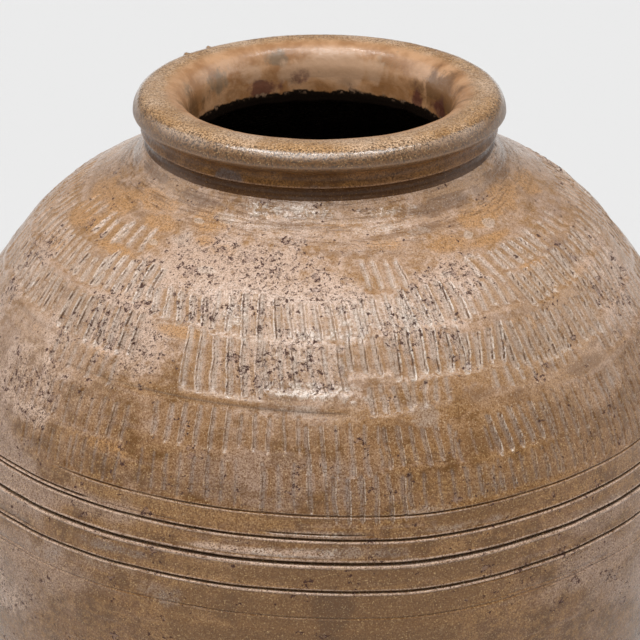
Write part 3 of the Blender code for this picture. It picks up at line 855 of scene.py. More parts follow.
def rolled_rim():
    turn = np.linspace(0, math.pi / 2, ROLL_ROWS)
    roll_radius = CREST_RADIUS + (RIM_RADIUS - CREST_RADIUS) * np.cos(turn)
    roll_height = ROLL_EDGE_HEIGHT + RIM_RISE * np.sin(turn)
    low = TUCK_HEIGHT - SCARF_DROP + HAIRLINE
    funnel = POT_HEIGHT - (POT_HEIGHT - low) * (1 - np.cos(np.linspace(0, math.pi / 2, FUNNEL_ROWS)))
    funnel = funnel[1:]
    under_radius = np.linspace(TUCK_RADIUS, RIM_RADIUS - ROLL_EDGE / 2, 5)
    under_height = np.linspace(TUCK_HEIGHT + HAIRLINE, ROLL_EDGE_HEIGHT - ROLL_EDGE, 5)
    edge_radius = [RIM_RADIUS - ROLL_EDGE * 0.22, RIM_RADIUS - ROLL_EDGE * 0.05]
    edge_height = [ROLL_EDGE_HEIGHT - ROLL_EDGE * 0.60, ROLL_EDGE_HEIGHT - ROLL_EDGE * 0.25]
    radii = np.concatenate([under_radius, edge_radius, roll_radius, mouth_radius(funnel)])
    heights = np.concatenate([under_height, edge_height, roll_height, funnel])
    piece = turned("rolled_rim", radii, heights, RIM_COLUMNS)
    points = points_of(piece.data)
    angle, radius = polar(points)
    height = points[:, 2]
    around = np.arctan2(height - ROLL_EDGE_HEIGHT, radius - CREST_RADIUS)
    free = eased(height, TUCK_HEIGHT, TUCK_HEIGHT + 0.005)
    lumps = layered_hills(angle, ROLL_HALF * around, 0.024, 91, 2.0, 2)
    grain = layered_hills(angle, ROLL_HALF * around, 0.0035, 95, 1.0, 2)
    depth = (LUMP_DEPTH * (1 + lumps) + GRAIN_DEPTH * (1 + grain)) * free
    for turn_at, ring, half, lift in RIM_MARKS:
        off = np.hypot(np.radians(signed_turn(angle, turn_at)) * ring, radius - ring) / half
        depth = depth - lift * np.exp(-off ** 2 * 1.5) * (height > ROLL_EDGE_HEIGHT)
    lean_out, lean_up = np.cos(around), np.sin(around)
    slack = eased(height, TUCK_HEIGHT, ROLL_EDGE_HEIGHT)
    slack = slack * (1 - eased(height, ROLL_EDGE_HEIGHT, POT_HEIGHT - 0.001))
    sag = ROLL_SAG * np.sin(angle) ** 2 * slack * (radius > CREST_RADIUS)
    put_points(piece.data, angle, radius - depth * lean_out, height - depth * lean_up - sag)
    note_mark(piece.data, "mouth", eased(-radius, 0.0035 - CREST_RADIUS, 0.0105 - CREST_RADIUS))
    # A thin band along the roll's lower edge, which the glaze paints tan as a painted highlight
    note_mark(piece.data, "edge", np.exp(-((height - ROLL_EDGE_HEIGHT + 0.0004) / 0.0009) ** 2)
              * (radius > CREST_RADIUS))
    note_mark(piece.data, "face", eased(radius, CREST_RADIUS + 0.002, RIM_RADIUS - 0.002))
    # The low part of the roll's outer face: the glaze paints it darker, partly as painted shade, and keeps
    # it dull
    note_mark(piece.data, "low_face", (1 - eased(around, 0.26, 0.74)) * (radius > CREST_RADIUS))
    note_mouth_stains(piece.data, angle, height)
    return piece


rim = rolled_rim()
body_pieces["rolled_rim"] = rim
print("rim:", len(rim.data.polygons), "faces")

# %% [markdown]
# Every finish here is one recipe with its own colours: a thin ash glaze over brown clay. The
# helpers below add one node each and feed it, so that the recipe reads as a list of steps.

# %% Small helpers for building a glaze


def add(tree, kind, inputs=None, **settings):
    """Adds a node. Each input is given a plain value, or is fed from another node."""
    node = tree.nodes.new(kind)
    for name, value in settings.items():
        setattr(node, name, value)
    for socket, value in (inputs or {}).items():
        if isinstance(value, bpy.types.NodeSocket):
            tree.links.new(value, node.inputs[socket])
        else:
            node.inputs[socket].default_value = value
    return node


def noise(tree, place, scale, detail=3.0, roughness=0.55, distortion=0.0):
    """Soft random clouds from 0 to 1."""
    return add(tree, "ShaderNodeTexNoise", {"Vector": place, "Scale": scale, "Detail": detail,
                                            "Roughness": roughness, "Distortion": distortion},
               noise_dimensions="3D").outputs["Fac"]


def ramp(tree, value, low, high, start=0.0, end=1.0):
    """Start below low, end above high, and a smooth step between them."""
    return add(tree, "ShaderNodeMapRange", {0: value, 1: low, 2: high, 3: start, 4: end},
               interpolation_type="SMOOTHSTEP").outputs[0]


def calc(tree, operation, first, second=0.0, clamp=False):
    return add(tree, "ShaderNodeMath", {0: first, 1: second}, operation=operation,
               use_clamp=clamp).outputs[0]


def times(tree, first, second):
    return calc(tree, "MULTIPLY", first, second)


def greater(tree, first, second):
    return calc(tree, "MAXIMUM", first, second)


def mark(tree, name):
    """The number that a piece keeps for each of its points under a name."""
    return add(tree, "ShaderNodeAttribute", attribute_name=name).outputs["Fac"]


def over(tree, amount, below, above, blend="MIX"):
    """Lays one colour over another."""
    return add(tree, "ShaderNodeMix", {"Factor": amount, 6: below, 7: above}, data_type="RGBA",
               blend_type=blend).outputs[2]


def paint(red, green, blue):
    return (red, green, blue, 1)

# %% [markdown]
# The glaze. On the real pot it is a skin of melted wood ash, thin, glossy and never one colour:
# pinkish beige where it boiled on the shoulder, ochre where it ran, umber where it is thin,
# rust where bare clay flashed, and blue-grey where it pooled in hollows. Each of these is a
# colour laid over the last, and noise at several sizes breaks up its edge. The wet glints come
# from a clear coat, which lies on glassy spots, burrs and the rim, and not in pits or shadow;
# on glassy spots and burrs pale colour is laid as well, as painted glints.

# %% Name the colours
UMBER = paint(0.170, 0.074, 0.020)
BROWN = paint(0.322, 0.160, 0.068)
OCHRE = paint(0.432, 0.225, 0.084)
TAN = paint(0.560, 0.345, 0.210)
BLOOM = paint(0.765, 0.538, 0.405)
RUST = paint(0.640, 0.330, 0.125)
BLUE = paint(0.350, 0.285, 0.255)
PALE_BLUE = paint(0.640, 0.500, 0.395)
# Dark brown: dark stains, streaks and grain, and also painted shade in grooves, the joint's crease and the
# collar's waist and undercut
DUSK_GLAZE_AND_SHADE = paint(0.080, 0.034, 0.012)
# Pinkish grey: pale wiped streaks, and the spots on the sides that are partly painted sheen
HAZE_AND_SHEEN = paint(0.530, 0.370, 0.290)
MAUVE = paint(0.320, 0.195, 0.155)
PIT = paint(0.070, 0.024, 0.015)
# Near black: dark glaze pooled in the cut rings, together with their painted shade
RING_GLAZE_AND_SHADE = paint(0.024, 0.011, 0.006)
PALE = paint(0.900, 0.780, 0.660)
GOLD = paint(0.900, 0.620, 0.300)
# Painted shade: the near black of the pot's dark inside
INSIDE_SHADE = paint(0.014, 0.009, 0.006)
MAROON = paint(0.130, 0.040, 0.032)
INK = paint(0.120, 0.105, 0.105)
GLAZE_IOR = 1.6
COAT_DULL = 0.12

# %% [markdown]
# Every glaze starts from the same noises, so that its grain, its stains and its relief agree.
# A stain is a mark that the piece keeps, and the noises tear its edge. Sandy grain is dark
# and pale specks at two sizes, the pale ones partly painted glints, and streaks run round the pot,
# as a wet hand leaves them.

# %% Start a glaze, and stain and sand it


def start_glaze(name):
    """A new material, with the noises that every glaze here shares."""
    material = bpy.data.materials.new(name)
    material.use_nodes = True
    tree = material.node_tree
    place = add(tree, "ShaderNodeTexCoord").outputs["Object"]
    clouds = {"cloud": noise(tree, place, 20, 4, 0.60),
              "mottle": noise(tree, place, 70, 5, 0.60, 0.3),
              "patch": noise(tree, place, 230, 4, 0.60),
              "ripple": noise(tree, place, 300, 1, 0.50),
              "sand": noise(tree, place, 900, 3, 0.70),
              "speck": noise(tree, place, 1500, 2, 0.60)}
    return material, tree, place, clouds


def wiped(tree, place, down, fineness):
    """Streaks that a wet hand left round the pot. Down is the distance that they are read along."""
    flat = add(tree, "ShaderNodeVectorMath", {0: place, 1: (1, 1, 0)}, operation="MULTIPLY").outputs[0]
    facing = add(tree, "ShaderNodeVectorMath", {0: flat}, operation="NORMALIZE").outputs[0]
    round_it = add(tree, "ShaderNodeVectorMath", {0: facing, "Scale": 0.012}, operation="SCALE").outputs[0]
    along = add(tree, "ShaderNodeCombineXYZ", {"Z": down}).outputs[0]
    where = add(tree, "ShaderNodeVectorMath", {0: round_it, 1: along}, operation="ADD").outputs[0]
    return noise(tree, where, fineness, 3, 0.6)


def total(tree, *parts):
    """The sum of (value, factor) pairs."""
    sum_so_far = None
    for value, factor in parts:
        part = times(tree, value, factor)
        sum_so_far = part if sum_so_far is None else calc(tree, "ADD", sum_so_far, part)
    return sum_so_far


def spread(tree, clouds, mark_name, most):
    """How much a stain covers: most where its mark is strong, with its edge broken by the noises."""
    broken = total(tree, (mark(tree, mark_name), 1.0), (clouds["mottle"], 1.5),
                   (clouds["patch"], 1.1), (clouds["sand"], 0.5))
    return ramp(tree, broken, 1.80, 2.45, 0, most)


def stained(tree, colour, clouds, mark_name, paint_over, most):
    return over(tree, spread(tree, clouds, mark_name, most), colour, paint_over)


def sanded(tree, colour, clouds, dark, pale, amount, less=0.0):
    """Sandy grain: dark and pale specks from half a millimetre to two across. On the glaze the pale
    specks are also painted glints. Less, from 0 to 1, is where it was covered by thicker glaze."""
    clear = calc(tree, "SUBTRACT", 1.0, less)
    for grain, low, high, most, tint in (("sand", 0.50, 0.36, 0.75, dark), ("sand", 0.54, 0.68, 0.22, pale),
                                         ("speck", 0.49, 0.36, 0.95, dark),
                                         ("speck", 0.61, 0.70, 0.70, pale)):
        spots = ramp(tree, clouds[grain], low, high, 0, most * amount)
        colour = over(tree, times(tree, spots, clear), colour, tint)
    return colour

# %% [markdown]
# Where the ash boiled, bubbles burst and left pits, some like a broken ring and some a mere
# curl. Real dents would need millions of points, so they are a pattern, in colour and relief.
# The cells of a Voronoi texture give each bubble its place, and a torn noise frays its edge.

# %% Burst the bubbles
PIT_EDGE = 0.00060


def pits(tree, place, cell, smallest, largest, wanted):
    """Burst bubbles, at most one to a cell, wider than tall. Wanted, from 0 to 1, is the share of
    cells that have one. Gives the broken dark rim of each, and its floor."""
    jitter = add(tree, "ShaderNodeTexNoise", {"Vector": place, "Scale": 1.8 / cell, "Detail": 3.0,
                                              "Roughness": 0.70}).outputs["Color"]
    centred = add(tree, "ShaderNodeVectorMath", {0: jitter, 1: (0.5, 0.5, 0.5)},
                  operation="SUBTRACT").outputs["Vector"]
    moved = add(tree, "ShaderNodeVectorMath", {0: centred, "Scale": cell * 1.3},
                operation="SCALE").outputs["Vector"]
    torn = add(tree, "ShaderNodeVectorMath", {0: place, 1: moved}, operation="ADD").outputs["Vector"]
    flat = add(tree, "ShaderNodeMapping", {"Vector": torn, "Scale": (1, 1, 1.5)}).outputs[0]
    cells = add(tree, "ShaderNodeTexVoronoi", {"Vector": flat, "Scale": 1 / cell})
    chance = add(tree, "ShaderNodeSeparateColor", {"Color": cells.outputs["Color"]})
    size = ramp(tree, chance.outputs["Red"], 0, 1, smallest, largest)
    depth = calc(tree, "SUBTRACT", size, cells.outputs["Distance"])
    there = calc(tree, "LESS_THAN", chance.outputs["Green"], wanted)
    rim = ramp(tree, calc(tree, "ABSOLUTE", depth), PIT_EDGE * 0.5 / cell, PIT_EDGE / cell, 1, 0)
    broken = ramp(tree, noise(tree, place, 420, 2, 0.6), 0.47, 0.53)
    floor = ramp(tree, depth, 0, 0.10)
    dark = times(tree, times(tree, rim, broken), there)
    return dark, times(tree, floor, there)


def crescents(tree, place, size, wanted):
    """Short dark curls: the ridge lines of a torn noise, kept only here and there."""
    lines = noise(tree, place, 1 / size, 3, 0.6, 1.5)
    off_line = calc(tree, "ABSOLUTE", calc(tree, "SUBTRACT", lines, 0.5))
    line = ramp(tree, off_line, 0.012, 0.030, 1, 0)
    kept = calc(tree, "ADD", noise(tree, place, 1.6 / size, 1, 0.5), wanted)
    return times(tree, line, ramp(tree, kept, 1.10, 1.18))


def burst_bubbles(tree, place, cluster):
    """Large and small pits and curls, more of them where the cluster is strong. Gives their dark
    rims, and the floors of the large ones."""
    large, floor = pits(tree, place, 0.0066, 0.14, 0.40, ramp(tree, cluster, 1.20, 1.90, 0.002, 0.62))
    small = pits(tree, place, 0.0030, 0.06, 0.26, ramp(tree, cluster, 1.15, 1.90, 0.004, 0.70))[0]
    curls = crescents(tree, place, 0.0030, ramp(tree, cluster, 1.15, 1.90, 0.18, 0.62))
    dark = greater(tree, large, times(tree, small, 0.95))
    return greater(tree, dark, times(tree, curls, 0.95)), floor

# %% [markdown]
# Firing joins a glaze's parts in one shader. The gloss comes from the shader and the lamps, so it
# stays right from every side, apart from the painted highlights and glints laid into the colour.
# What is the same all over is set on the shader's own socket, because a link there would be lost
# when the model is exported.

# %% Fire a glaze
HEIGHT_UNIT = 0.001


def fire(material, colour, height, roughness, mirror=0.5, clear=0.0):
    """Finishes a glaze: its colour, its relief in millimetres, how dull it is, how much it
    mirrors, and how much of it a clear coat covers."""
    tree = material.node_tree
    shader = tree.nodes["Principled BSDF"]
    relief = add(tree, "ShaderNodeBump", {"Height": height, "Strength": 1.0,
                                          "Distance": HEIGHT_UNIT}).outputs["Normal"]
    tree.links.new(colour, shader.inputs["Base Color"])
    tree.links.new(roughness, shader.inputs["Roughness"])
    tree.links.new(relief, shader.inputs["Normal"])
    shader.inputs["IOR"].default_value = GLAZE_IOR
    shader.inputs["Specular IOR Level"].default_value = mirror
    shader.inputs["Coat Roughness"].default_value = COAT_DULL
    tree.links.new(relief, shader.inputs["Coat Normal"])
    if isinstance(clear, bpy.types.NodeSocket):
        tree.links.new(clear, shader.inputs["Coat Weight"])
    else:
        shader.inputs["Coat Weight"].default_value = clear
    return material

# %% [markdown]
# The wall's glaze takes the steps in the order in which they lie on the real pot. First come
# the body, in umber and brown, and the fallen ash, tan and pinkish. How ashy a place is goes by
# its distance from the collar. The stains lie over both.

# %% Mix the body, the fallen ash and the stains


def fallen_ash(tree, place, clouds):
    """Brown below, tan above, where the ash fell thickest. Gives how ashy it is, and the colour."""
    mottle, patch = clouds["mottle"], clouds["patch"]
    low = over(tree, ramp(tree, mottle, 0.36, 0.60), UMBER, BROWN)
    low = over(tree, ramp(tree, patch, 0.44, 0.62, 0, 0.7), low, OCHRE)
    high = over(tree, ramp(tree, mottle, 0.36, 0.58), OCHRE, TAN)
    high = over(tree, ramp(tree, patch, 0.48, 0.64, 0, 0.6), high, BLOOM)
    ash = total(tree, (mark(tree, "reach"), -12), (mottle, 1.1), (clouds["cloud"], 0.7))
    ashy = ramp(tree, ash, -1.10, 0.10)
    colour = over(tree, ashy, low, high)
    streaks = wiped(tree, place, mark(tree, "reach"), 190)
    colour = over(tree, ramp(tree, streaks, 0.50, 0.34, 0, 0.35), colour, UMBER)
    return ashy, over(tree, ramp(tree, streaks, 0.54, 0.70, 0, 0.30), colour, HAZE_AND_SHEEN)


def wall_stains(tree, colour, place, clouds, pool):
    """The stains, the fine dark lines beside the collar, the blisters, and the painted sheen on the sides.
    Gives the colour, and the pale pinkish grey with its painted sheen, the bloom and the lines, which later
    steps need."""
    patch, sand = clouds["patch"], clouds["sand"]
    colour = stained(tree, colour, clouds, "ochre", OCHRE, 0.70)
    # Pale pinkish grey, mostly on the sides: partly in the glaze, partly painted sheen
    haze_and_sheen = total(tree, (mark(tree, "haze_and_sheen"), 1.0), (clouds["mottle"], 0.9), (patch, 0.4))
    haze_and_sheen = ramp(tree, haze_and_sheen, 0.95, 1.75, 0, 0.70)
    colour = over(tree, haze_and_sheen, colour, HAZE_AND_SHEEN)
    bloom = spread(tree, clouds, "bloom", 0.85)
    colour = over(tree, bloom, colour, BLOOM)
    sandy_rust = over(tree, ramp(tree, sand, 0.36, 0.54), OCHRE, RUST)
    for name, stain_colour, most in (("umber", UMBER, 0.65), ("rust", sandy_rust, 0.80),
                                     ("blue", pool, 0.55), ("dusk", DUSK_GLAZE_AND_SHADE, 0.55)):
        colour = stained(tree, colour, clouds, name, stain_colour, most)
    collar_side = ramp(tree, mark(tree, "reach"), 0.034, 0.014)
    lines = wiped(tree, place, mark(tree, "reach"), 620)
    lines = times(tree, ramp(tree, lines, 0.48, 0.38), collar_side)
    colour = over(tree, times(tree, lines, 0.55), colour, UMBER)
    blister = total(tree, (mark(tree, "blister"), 1.0), (patch, 0.9), (sand, 0.5))
    colour = over(tree, ramp(tree, blister, 0.95, 1.15, 0, 0.35), colour, PALE)
    colour = over(tree, ramp(tree, blister, 1.25, 1.60, 0, 0.22), colour, MAUVE)
    return colour, haze_and_sheen, bloom, lines

# %% [markdown]
# Then comes what the worked clay did to it: glaze ran off the ridges and pooled in the grooves.
# The burrs and the lips of the rings are painted pale, partly wear and partly painted highlight.
# The steep side of a groove, the joint's crease and the floor of a ring get painted shade, and
# dark glaze also pools in the rings.

# %% Pool and wear the glaze on the worked clay


def worked_clay(tree, colour, place, clouds, ashy, pool):
    """Gives the colour, where the burrs are painted pale, partly wear and partly painted highlight, and
    where painted shadow lies.
    """
    patch = clouds["patch"]
    bared = times(tree, ramp(tree, mark(tree, "ridge"), 0.15, 0.6),
                  ramp(tree, clouds["mottle"], 0.38, 0.54))
    colour = over(tree, times(tree, bared, 0.75), colour, over(tree, ashy, BROWN, OCHRE))
    pooled = times(tree, ramp(tree, mark(tree, "groove"), 0.12, 0.45), ramp(tree, patch, 0.30, 0.50))
    colour = over(tree, times(tree, pooled, ramp(tree, ashy, 0.2, 1, 0.50, 0.68)), colour, pool)
    # Pale along the burrs: partly wear, partly painted highlight where they catch the light
    wear_and_glint = times(tree, ramp(tree, mark(tree, "burr"), 0.15, 0.7), ramp(tree, patch, 0.36, 0.52))
    colour = over(tree, times(tree, wear_and_glint, 0.85), colour, PALE)
    # Painted shadow: a dark line along the steep side of each groove, the side that faces the front
    streak = ramp(tree, noise(tree, place, 110, 2, 0.6), 0.42, 0.56, 0.25, 0.95)
    shadow = times(tree, ramp(tree, mark(tree, "groove_wall"), 0.22, 0.62), streak)
    colour = over(tree, shadow, colour, DUSK_GLAZE_AND_SHADE)
    # Painted shade in the crease of the shoulder's joint
    colour = over(tree, ramp(tree, mark(tree, "crease"), 0.25, 0.95, 0, 0.22), colour, DUSK_GLAZE_AND_SHADE)
    # The floor of each cut ring: dark glaze pooled there, with painted shade over it
    ring = mark(tree, "cut")
    colour = over(tree, ramp(tree, ring, 0.15, 0.60, 0, 0.95), colour, RING_GLAZE_AND_SHADE)
    # Pale along the lips of the rings: partly wear, partly painted highlight
    rubbed_and_glint = times(tree, ramp(tree, mark(tree, "lip"), 0.12, 0.8),
                   ramp(tree, patch, 0.34, 0.54, 0.50, 0.95))
    colour = over(tree, rubbed_and_glint, colour, over(tree, ashy, BLOOM, PALE))
    return colour, wear_and_glint, greater(tree, shadow, ramp(tree, ring, 0.20, 0.70))

# %% [markdown]
# The grain and the burst bubbles come last. The bubbles sit in clusters, most where the ash
# boiled. The shoulder is given a little more gloss than the belly.

# %% Mix the wall's glaze


def wall_glaze(name, roughness, mirror):
    """The glaze of the courses, which reads every mark that the wall keeps."""
    material, tree, place, clouds = start_glaze(name)
    patch, sand = clouds["patch"], clouds["sand"]
    ashy, colour = fallen_ash(tree, place, clouds)
    pool = over(tree, ashy, BLUE, PALE_BLUE)
    colour, haze_and_sheen, bloom, lines = wall_stains(tree, colour, place, clouds, pool)
    colour, wear_and_glint, shadow = worked_clay(tree, colour, place, clouds, ashy, pool)
    glassy = total(tree, (mark(tree, "gloss_and_glint"), 1.0), (patch, 0.8), (sand, 0.5))
    glassy = ramp(tree, glassy, 1.05, 1.60)
    # Painted glints: pale clumps on the glossy spots, where the highlights fall
    glint_clumps = times(tree, glassy, ramp(tree, clouds["ripple"], 0.46, 0.62))
    colour = over(tree, times(tree, glint_clumps, 0.45), colour, PALE)
    colour = sanded(tree, colour, clouds, UMBER, over(tree, ashy, GOLD, PALE), 1.0,
                    times(tree, ashy, 0.42))
    cluster = total(tree, (noise(tree, place, 60, 3, 0.6), 2.4), (bloom, 0.95), (haze_and_sheen, 0.15))
    pitted, floor = burst_bubbles(tree, place, cluster)
    colour = over(tree, times(tree, floor, 0.40), colour, MAUVE)
    colour = over(tree, pitted, colour, PIT)
    # Painted shade: the wall's inner side is coloured near black, as the dark inside of the pot
    colour = over(tree, mark(tree, "inside"), colour, INSIDE_SHADE)

    height = total(tree, (sand, 0.09), (clouds["speck"], 0.04), (clouds["ripple"], 0.20),
                   (pitted, -0.14), (floor, -0.10), (lines, -0.10), (glint_clumps, 0.16))
    dark = greater(tree, pitted, shadow)
    dull = ramp(tree, patch, 0.3, 0.7, roughness - 0.05, roughness + 0.07)
    dull = total(tree, (dull, 1.0), (bloom, 0.04), (wear_and_glint, -0.10), (glassy, -0.08), (dark, 0.5))
    clear = total(tree, (glassy, 0.80), (wear_and_glint, 0.60), (ramp(tree, ashy, 0, 1, 0.12, 0.40), 1.0))
    clear = times(tree, clear, calc(tree, "SUBTRACT", 1.0, dark))
    return fire(material, colour, height, dull, mirror, clear)


body_glaze = wall_glaze("body_glaze", 0.28, 0.34)
shoulder_glaze = wall_glaze("shoulder_glaze", 0.28, 0.42)
print("wall glazes mixed:", len(body_glaze.node_tree.nodes), "nodes each")

# %% [markdown]
# The collar is darker than the wall, and painted shade darkens its waist and undercut further,
# under the roll and the ridge. The rim took the most ash and melted to a golden ochre, packed with
# dark grains like sand. Inside the mouth both are paler, with smoky and maroon stains.

# %% Mix the collar's and the rim's glaze


def lined(tree, colour, clouds):
    """The mouth's lining over a glaze, where the piece faces the hollow."""
    lining = over(tree, ramp(tree, clouds["mottle"], 0.36, 0.62), paint(0.430, 0.205, 0.080),
                  paint(0.660, 0.370, 0.190))
    # The umber on the mouth's sides and the tan at its back are partly painted shade and painted light
    for name, stain_colour, most in (("smoke", paint(0.200, 0.150, 0.095), 0.70), ("umber", UMBER, 0.80),
                                     ("tan", paint(0.700, 0.440, 0.270), 0.70),
                                     ("maroon", MAROON, 0.80)):
        lining = stained(tree, lining, clouds, name, stain_colour, most)
    return over(tree, mark(tree, "mouth"), colour, lining)


def collar_glaze():
    material, tree, place, clouds = start_glaze("collar_glaze")
    colour = over(tree, ramp(tree, clouds["mottle"], 0.36, 0.60), paint(0.150, 0.062, 0.015),
                  paint(0.290, 0.135, 0.038))
    colour = over(tree, ramp(tree, clouds["cloud"], 0.46, 0.60, 0, 0.7), colour, BROWN)
    colour = stained(tree, colour, clouds, "blue", INK, 0.75)
    height_up = add(tree, "ShaderNodeSeparateXYZ", {"Vector": place}).outputs["Z"]
    streaks = wiped(tree, place, height_up, 420)
    colour = over(tree, ramp(tree, streaks, 0.50, 0.36, 0, 0.5), colour, DUSK_GLAZE_AND_SHADE)
    # Painted shade: the waist and undercut darken the deeper they lie under the roll and the ridge
    colour = over(tree, ramp(tree, mark(tree, "recess_shade"), 0.4, 1.2, 0, 0.85), colour, DUSK_GLAZE_AND_SHADE)
    # Painted highlight: a tan line along the ridge, where it catches the light
    colour = over(tree, ramp(tree, mark(tree, "edge"), 0.3, 1.0, 0, 0.45), colour, TAN)
    colour = sanded(tree, colour, clouds, DUSK_GLAZE_AND_SHADE, OCHRE, 0.9)
    colour = lined(tree, colour, clouds)
    # Painted shade: below the height that light reaches, the lining goes black with a ragged edge
    ragged = total(tree, (mark(tree, "shade"), 1.0), (clouds["patch"], 5.0), (clouds["mottle"], 5.0))
    unlit = times(tree, ramp(tree, ragged, 4.6, 5.9), mark(tree, "mouth"))
    colour = over(tree, unlit, colour, INSIDE_SHADE)
    # Painted glints: pale flecks on the ragged edge just below where the lining is lit
    glint_flecks = times(tree, ramp(tree, clouds["patch"], 0.55, 0.66), unlit)
    glint_flecks = times(tree, glint_flecks, ramp(tree, mark(tree, "shade"), 0.5, 2.8, 0.6, 0))
    colour = over(tree, glint_flecks, colour, TAN)
    # Painted shade: the inside below the lining is coloured near black
    colour = over(tree, mark(tree, "inside"), colour, INSIDE_SHADE)
    height = total(tree, (clouds["sand"], 0.08), (clouds["speck"], 0.03), (clouds["ripple"], 0.12))
    dull = ramp(tree, clouds["patch"], 0.3, 0.7, 0.24, 0.36)
    return fire(material, colour, height, dull, 0.16, 0.08)


def rim_glaze():
    material, tree, place, clouds = start_glaze("rim_glaze")
    colour = over(tree, ramp(tree, clouds["mottle"], 0.34, 0.58), paint(0.480, 0.240, 0.075),
                  paint(0.720, 0.410, 0.180))
    colour = over(tree, ramp(tree, clouds["cloud"], 0.44, 0.60), colour, paint(0.880, 0.590, 0.370))
    colour = stained(tree, colour, clouds, "blue", INK, 0.6)
    # Umber on the outer face, most on its low part: partly darker glaze, partly painted shade on the roll's
    # underside
    under = ramp(tree, mark(tree, "face"), 0.50, 1.0, 0, 0.50)
    colour = over(tree, under, colour, UMBER)
    colour = over(tree, times(tree, mark(tree, "low_face"), 0.85), colour, UMBER)
    colour = sanded(tree, colour, clouds, UMBER, over(tree, mark(tree, "face"), PALE, GOLD), 0.9)
    grains = ramp(tree, noise(tree, place, 1000, 2, 0.60), 0.51, 0.59)
    dense = ramp(tree, total(tree, (clouds["mottle"], 1.0), (mark(tree, "face"), 0.35)), 0.35, 0.80,
                 0.15, 0.90)
    colour = over(tree, times(tree, grains, dense), colour, paint(0.070, 0.038, 0.016))
    # Painted highlight: a faint tan line along the roll's lower edge
    colour = over(tree, ramp(tree, mark(tree, "edge"), 0.2, 1.0, 0, 0.25), colour, TAN)
    colour = lined(tree, colour, clouds)
    height = total(tree, (clouds["sand"], 0.055), (clouds["speck"], 0.02), (clouds["ripple"], 0.16))
    dull = ramp(tree, clouds["patch"], 0.3, 0.7, 0.18, 0.30)
    dull = total(tree, (dull, 1.0), (mark(tree, "mouth"), 0.14), (mark(tree, "low_face"), 0.14))
    sheltered = greater(tree, times(tree, mark(tree, "low_face"), 0.90),
                        times(tree, mark(tree, "mouth"), 0.50))
    # Grains that stand out of the glaze break up its gloss
    clear = ramp(tree, grains, 0, 1, 1.0, 0.20)
    clear = times(tree, clear, calc(tree, "SUBTRACT", 1.0, sheltered))
    return fire(material, colour, height, dull, 0.6, clear)


def bare_clay():
    material, tree, _, clouds = start_glaze("bare_clay")
    colour = over(tree, ramp(tree, clouds["mottle"], 0.36, 0.64), paint(0.260, 0.165, 0.110),
                  paint(0.370, 0.245, 0.165))
    colour = sanded(tree, colour, clouds, UMBER, PALE, 0.8)
    height = total(tree, (clouds["sand"], 0.45), (clouds["patch"], 0.45))
    dull = ramp(tree, clouds["patch"], 0.3, 0.7, 0.80, 0.92)
    return fire(material, colour, height, dull)


GLAZES = {"body_glaze": body_glaze, "shoulder_glaze": shoulder_glaze,
          "collar_glaze": collar_glaze(), "rim_glaze": rim_glaze(), "bare_clay": bare_clay()}

# %% [markdown]
# Each piece now takes its place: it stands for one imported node, it rides on the one body that
# there is, and it takes the finish that the record names for it.

# %% Put every piece in place
SHARP_ANGLE = math.radians(60)
slots = {part["node"]: part["material_slot"] for part in frame["record"]["subparts"]}
for node, piece in body_pieces.items():
    piece.data.shade_smooth()
    piece.data.set_sharp_from_angle(angle=SHARP_ANGLE)
    piece.data.materials.append(GLAZES[slots[node]])
    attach(piece, "root")
    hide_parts(node)
print("pieces in place:", len(body_pieces))

# %% [markdown]
# A plain pale floor, seen from above, fills the whole background. To the camera and in the
# glaze's gloss it is pale, but it throws back less light than that, as a sheet of paper that
# ends just out of the picture does. The light is a long soft lamp overhead, made of five side
# by side, a row of three and a low one in front of it, two low at the sides, and an even room.

# %% Light the pot and set the camera
FLOOR_SIZE = 60
FLOOR_PALE = paint(0.757, 0.757, 0.757)
FLOOR_DULL = paint(0.45, 0.45, 0.45)
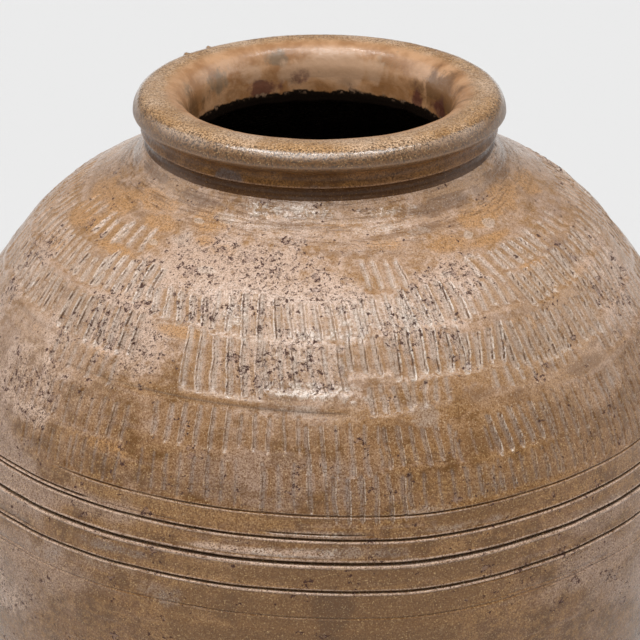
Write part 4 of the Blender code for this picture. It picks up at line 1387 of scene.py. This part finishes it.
# Lamps: name, height and turn in degrees, power, and softness in degrees
LAMPS = (("overhead_far_left", 63, -80, 0.31, 12), ("overhead_left", 73, -68, 0.31, 12),
         ("overhead", 79, 0, 0.29, 12), ("overhead_right", 73, 68, 0.28, 12),
         ("overhead_far_right", 63, 80, 0.27, 12), ("front_left", 56, -40, 0.23, 18),
         ("front", 62, -8, 0.58, 24), ("front_right", 55, 42, 0.15, 18), ("front_low", 42, -8, 0.18, 26),
         ("side_left", 26, -102, 0.62, 50), ("side_right", 26, 102, 0.54, 50))
ROOM_LIGHT = 0.20
CAMERA_PLACE = (0, -1.2559, 0.8592)
CAMERA_DIP = 23.99
CAMERA_LENS, CAMERA_SHIFT = 146.8, 0.0009


def make_stage():
    bpy.ops.mesh.primitive_plane_add(size=FLOOR_SIZE, location=(0, 0, 0))
    floor = bpy.context.active_object
    floor.name = "floor"
    material = bpy.data.materials.new("floor_paper")
    material.use_nodes = True
    tree = material.node_tree
    shader = tree.nodes["Principled BSDF"]
    path = add(tree, "ShaderNodeLightPath")
    seen = greater(tree, path.outputs["Is Camera Ray"], path.outputs["Is Glossy Ray"])
    seen = greater(tree, seen, path.outputs["Is Transmission Ray"])
    tree.links.new(over(tree, seen, FLOOR_DULL, FLOOR_PALE), shader.inputs["Base Color"])
    shader.inputs["Roughness"].default_value = 1.0
    shader.inputs["Specular IOR Level"].default_value = 0.0
    floor.data.materials.append(material)


def make_light():
    for name, height, turn, power, softness in LAMPS:
        lamp = bpy.data.lights.new(name, "SUN")
        lamp.energy = power
        lamp.angle = math.radians(softness)
        holder = bpy.data.objects.new(name, lamp)
        holder.rotation_euler = Euler((math.radians(90 - height), 0, math.radians(turn)))
        bpy.context.scene.collection.objects.link(holder)
    world = bpy.data.worlds.new("room")
    world.use_nodes = True
    world.node_tree.nodes["Background"].inputs["Color"].default_value = paint(1, 1, 1)
    world.node_tree.nodes["Background"].inputs["Strength"].default_value = ROOM_LIGHT
    bpy.context.scene.world = world


def make_camera():
    lens = bpy.data.cameras.new("camera")
    lens.lens = CAMERA_LENS
    lens.sensor_width = 36
    lens.shift_x = CAMERA_SHIFT
    camera = bpy.data.objects.new("camera", lens)
    camera.location = CAMERA_PLACE
    camera.rotation_euler = Euler((math.radians(90 - CAMERA_DIP), 0, 0))
    bpy.context.scene.collection.objects.link(camera)
    bpy.context.scene.camera = camera


make_stage()
make_light()
make_camera()
bpy.context.scene.view_settings.view_transform = "Standard"
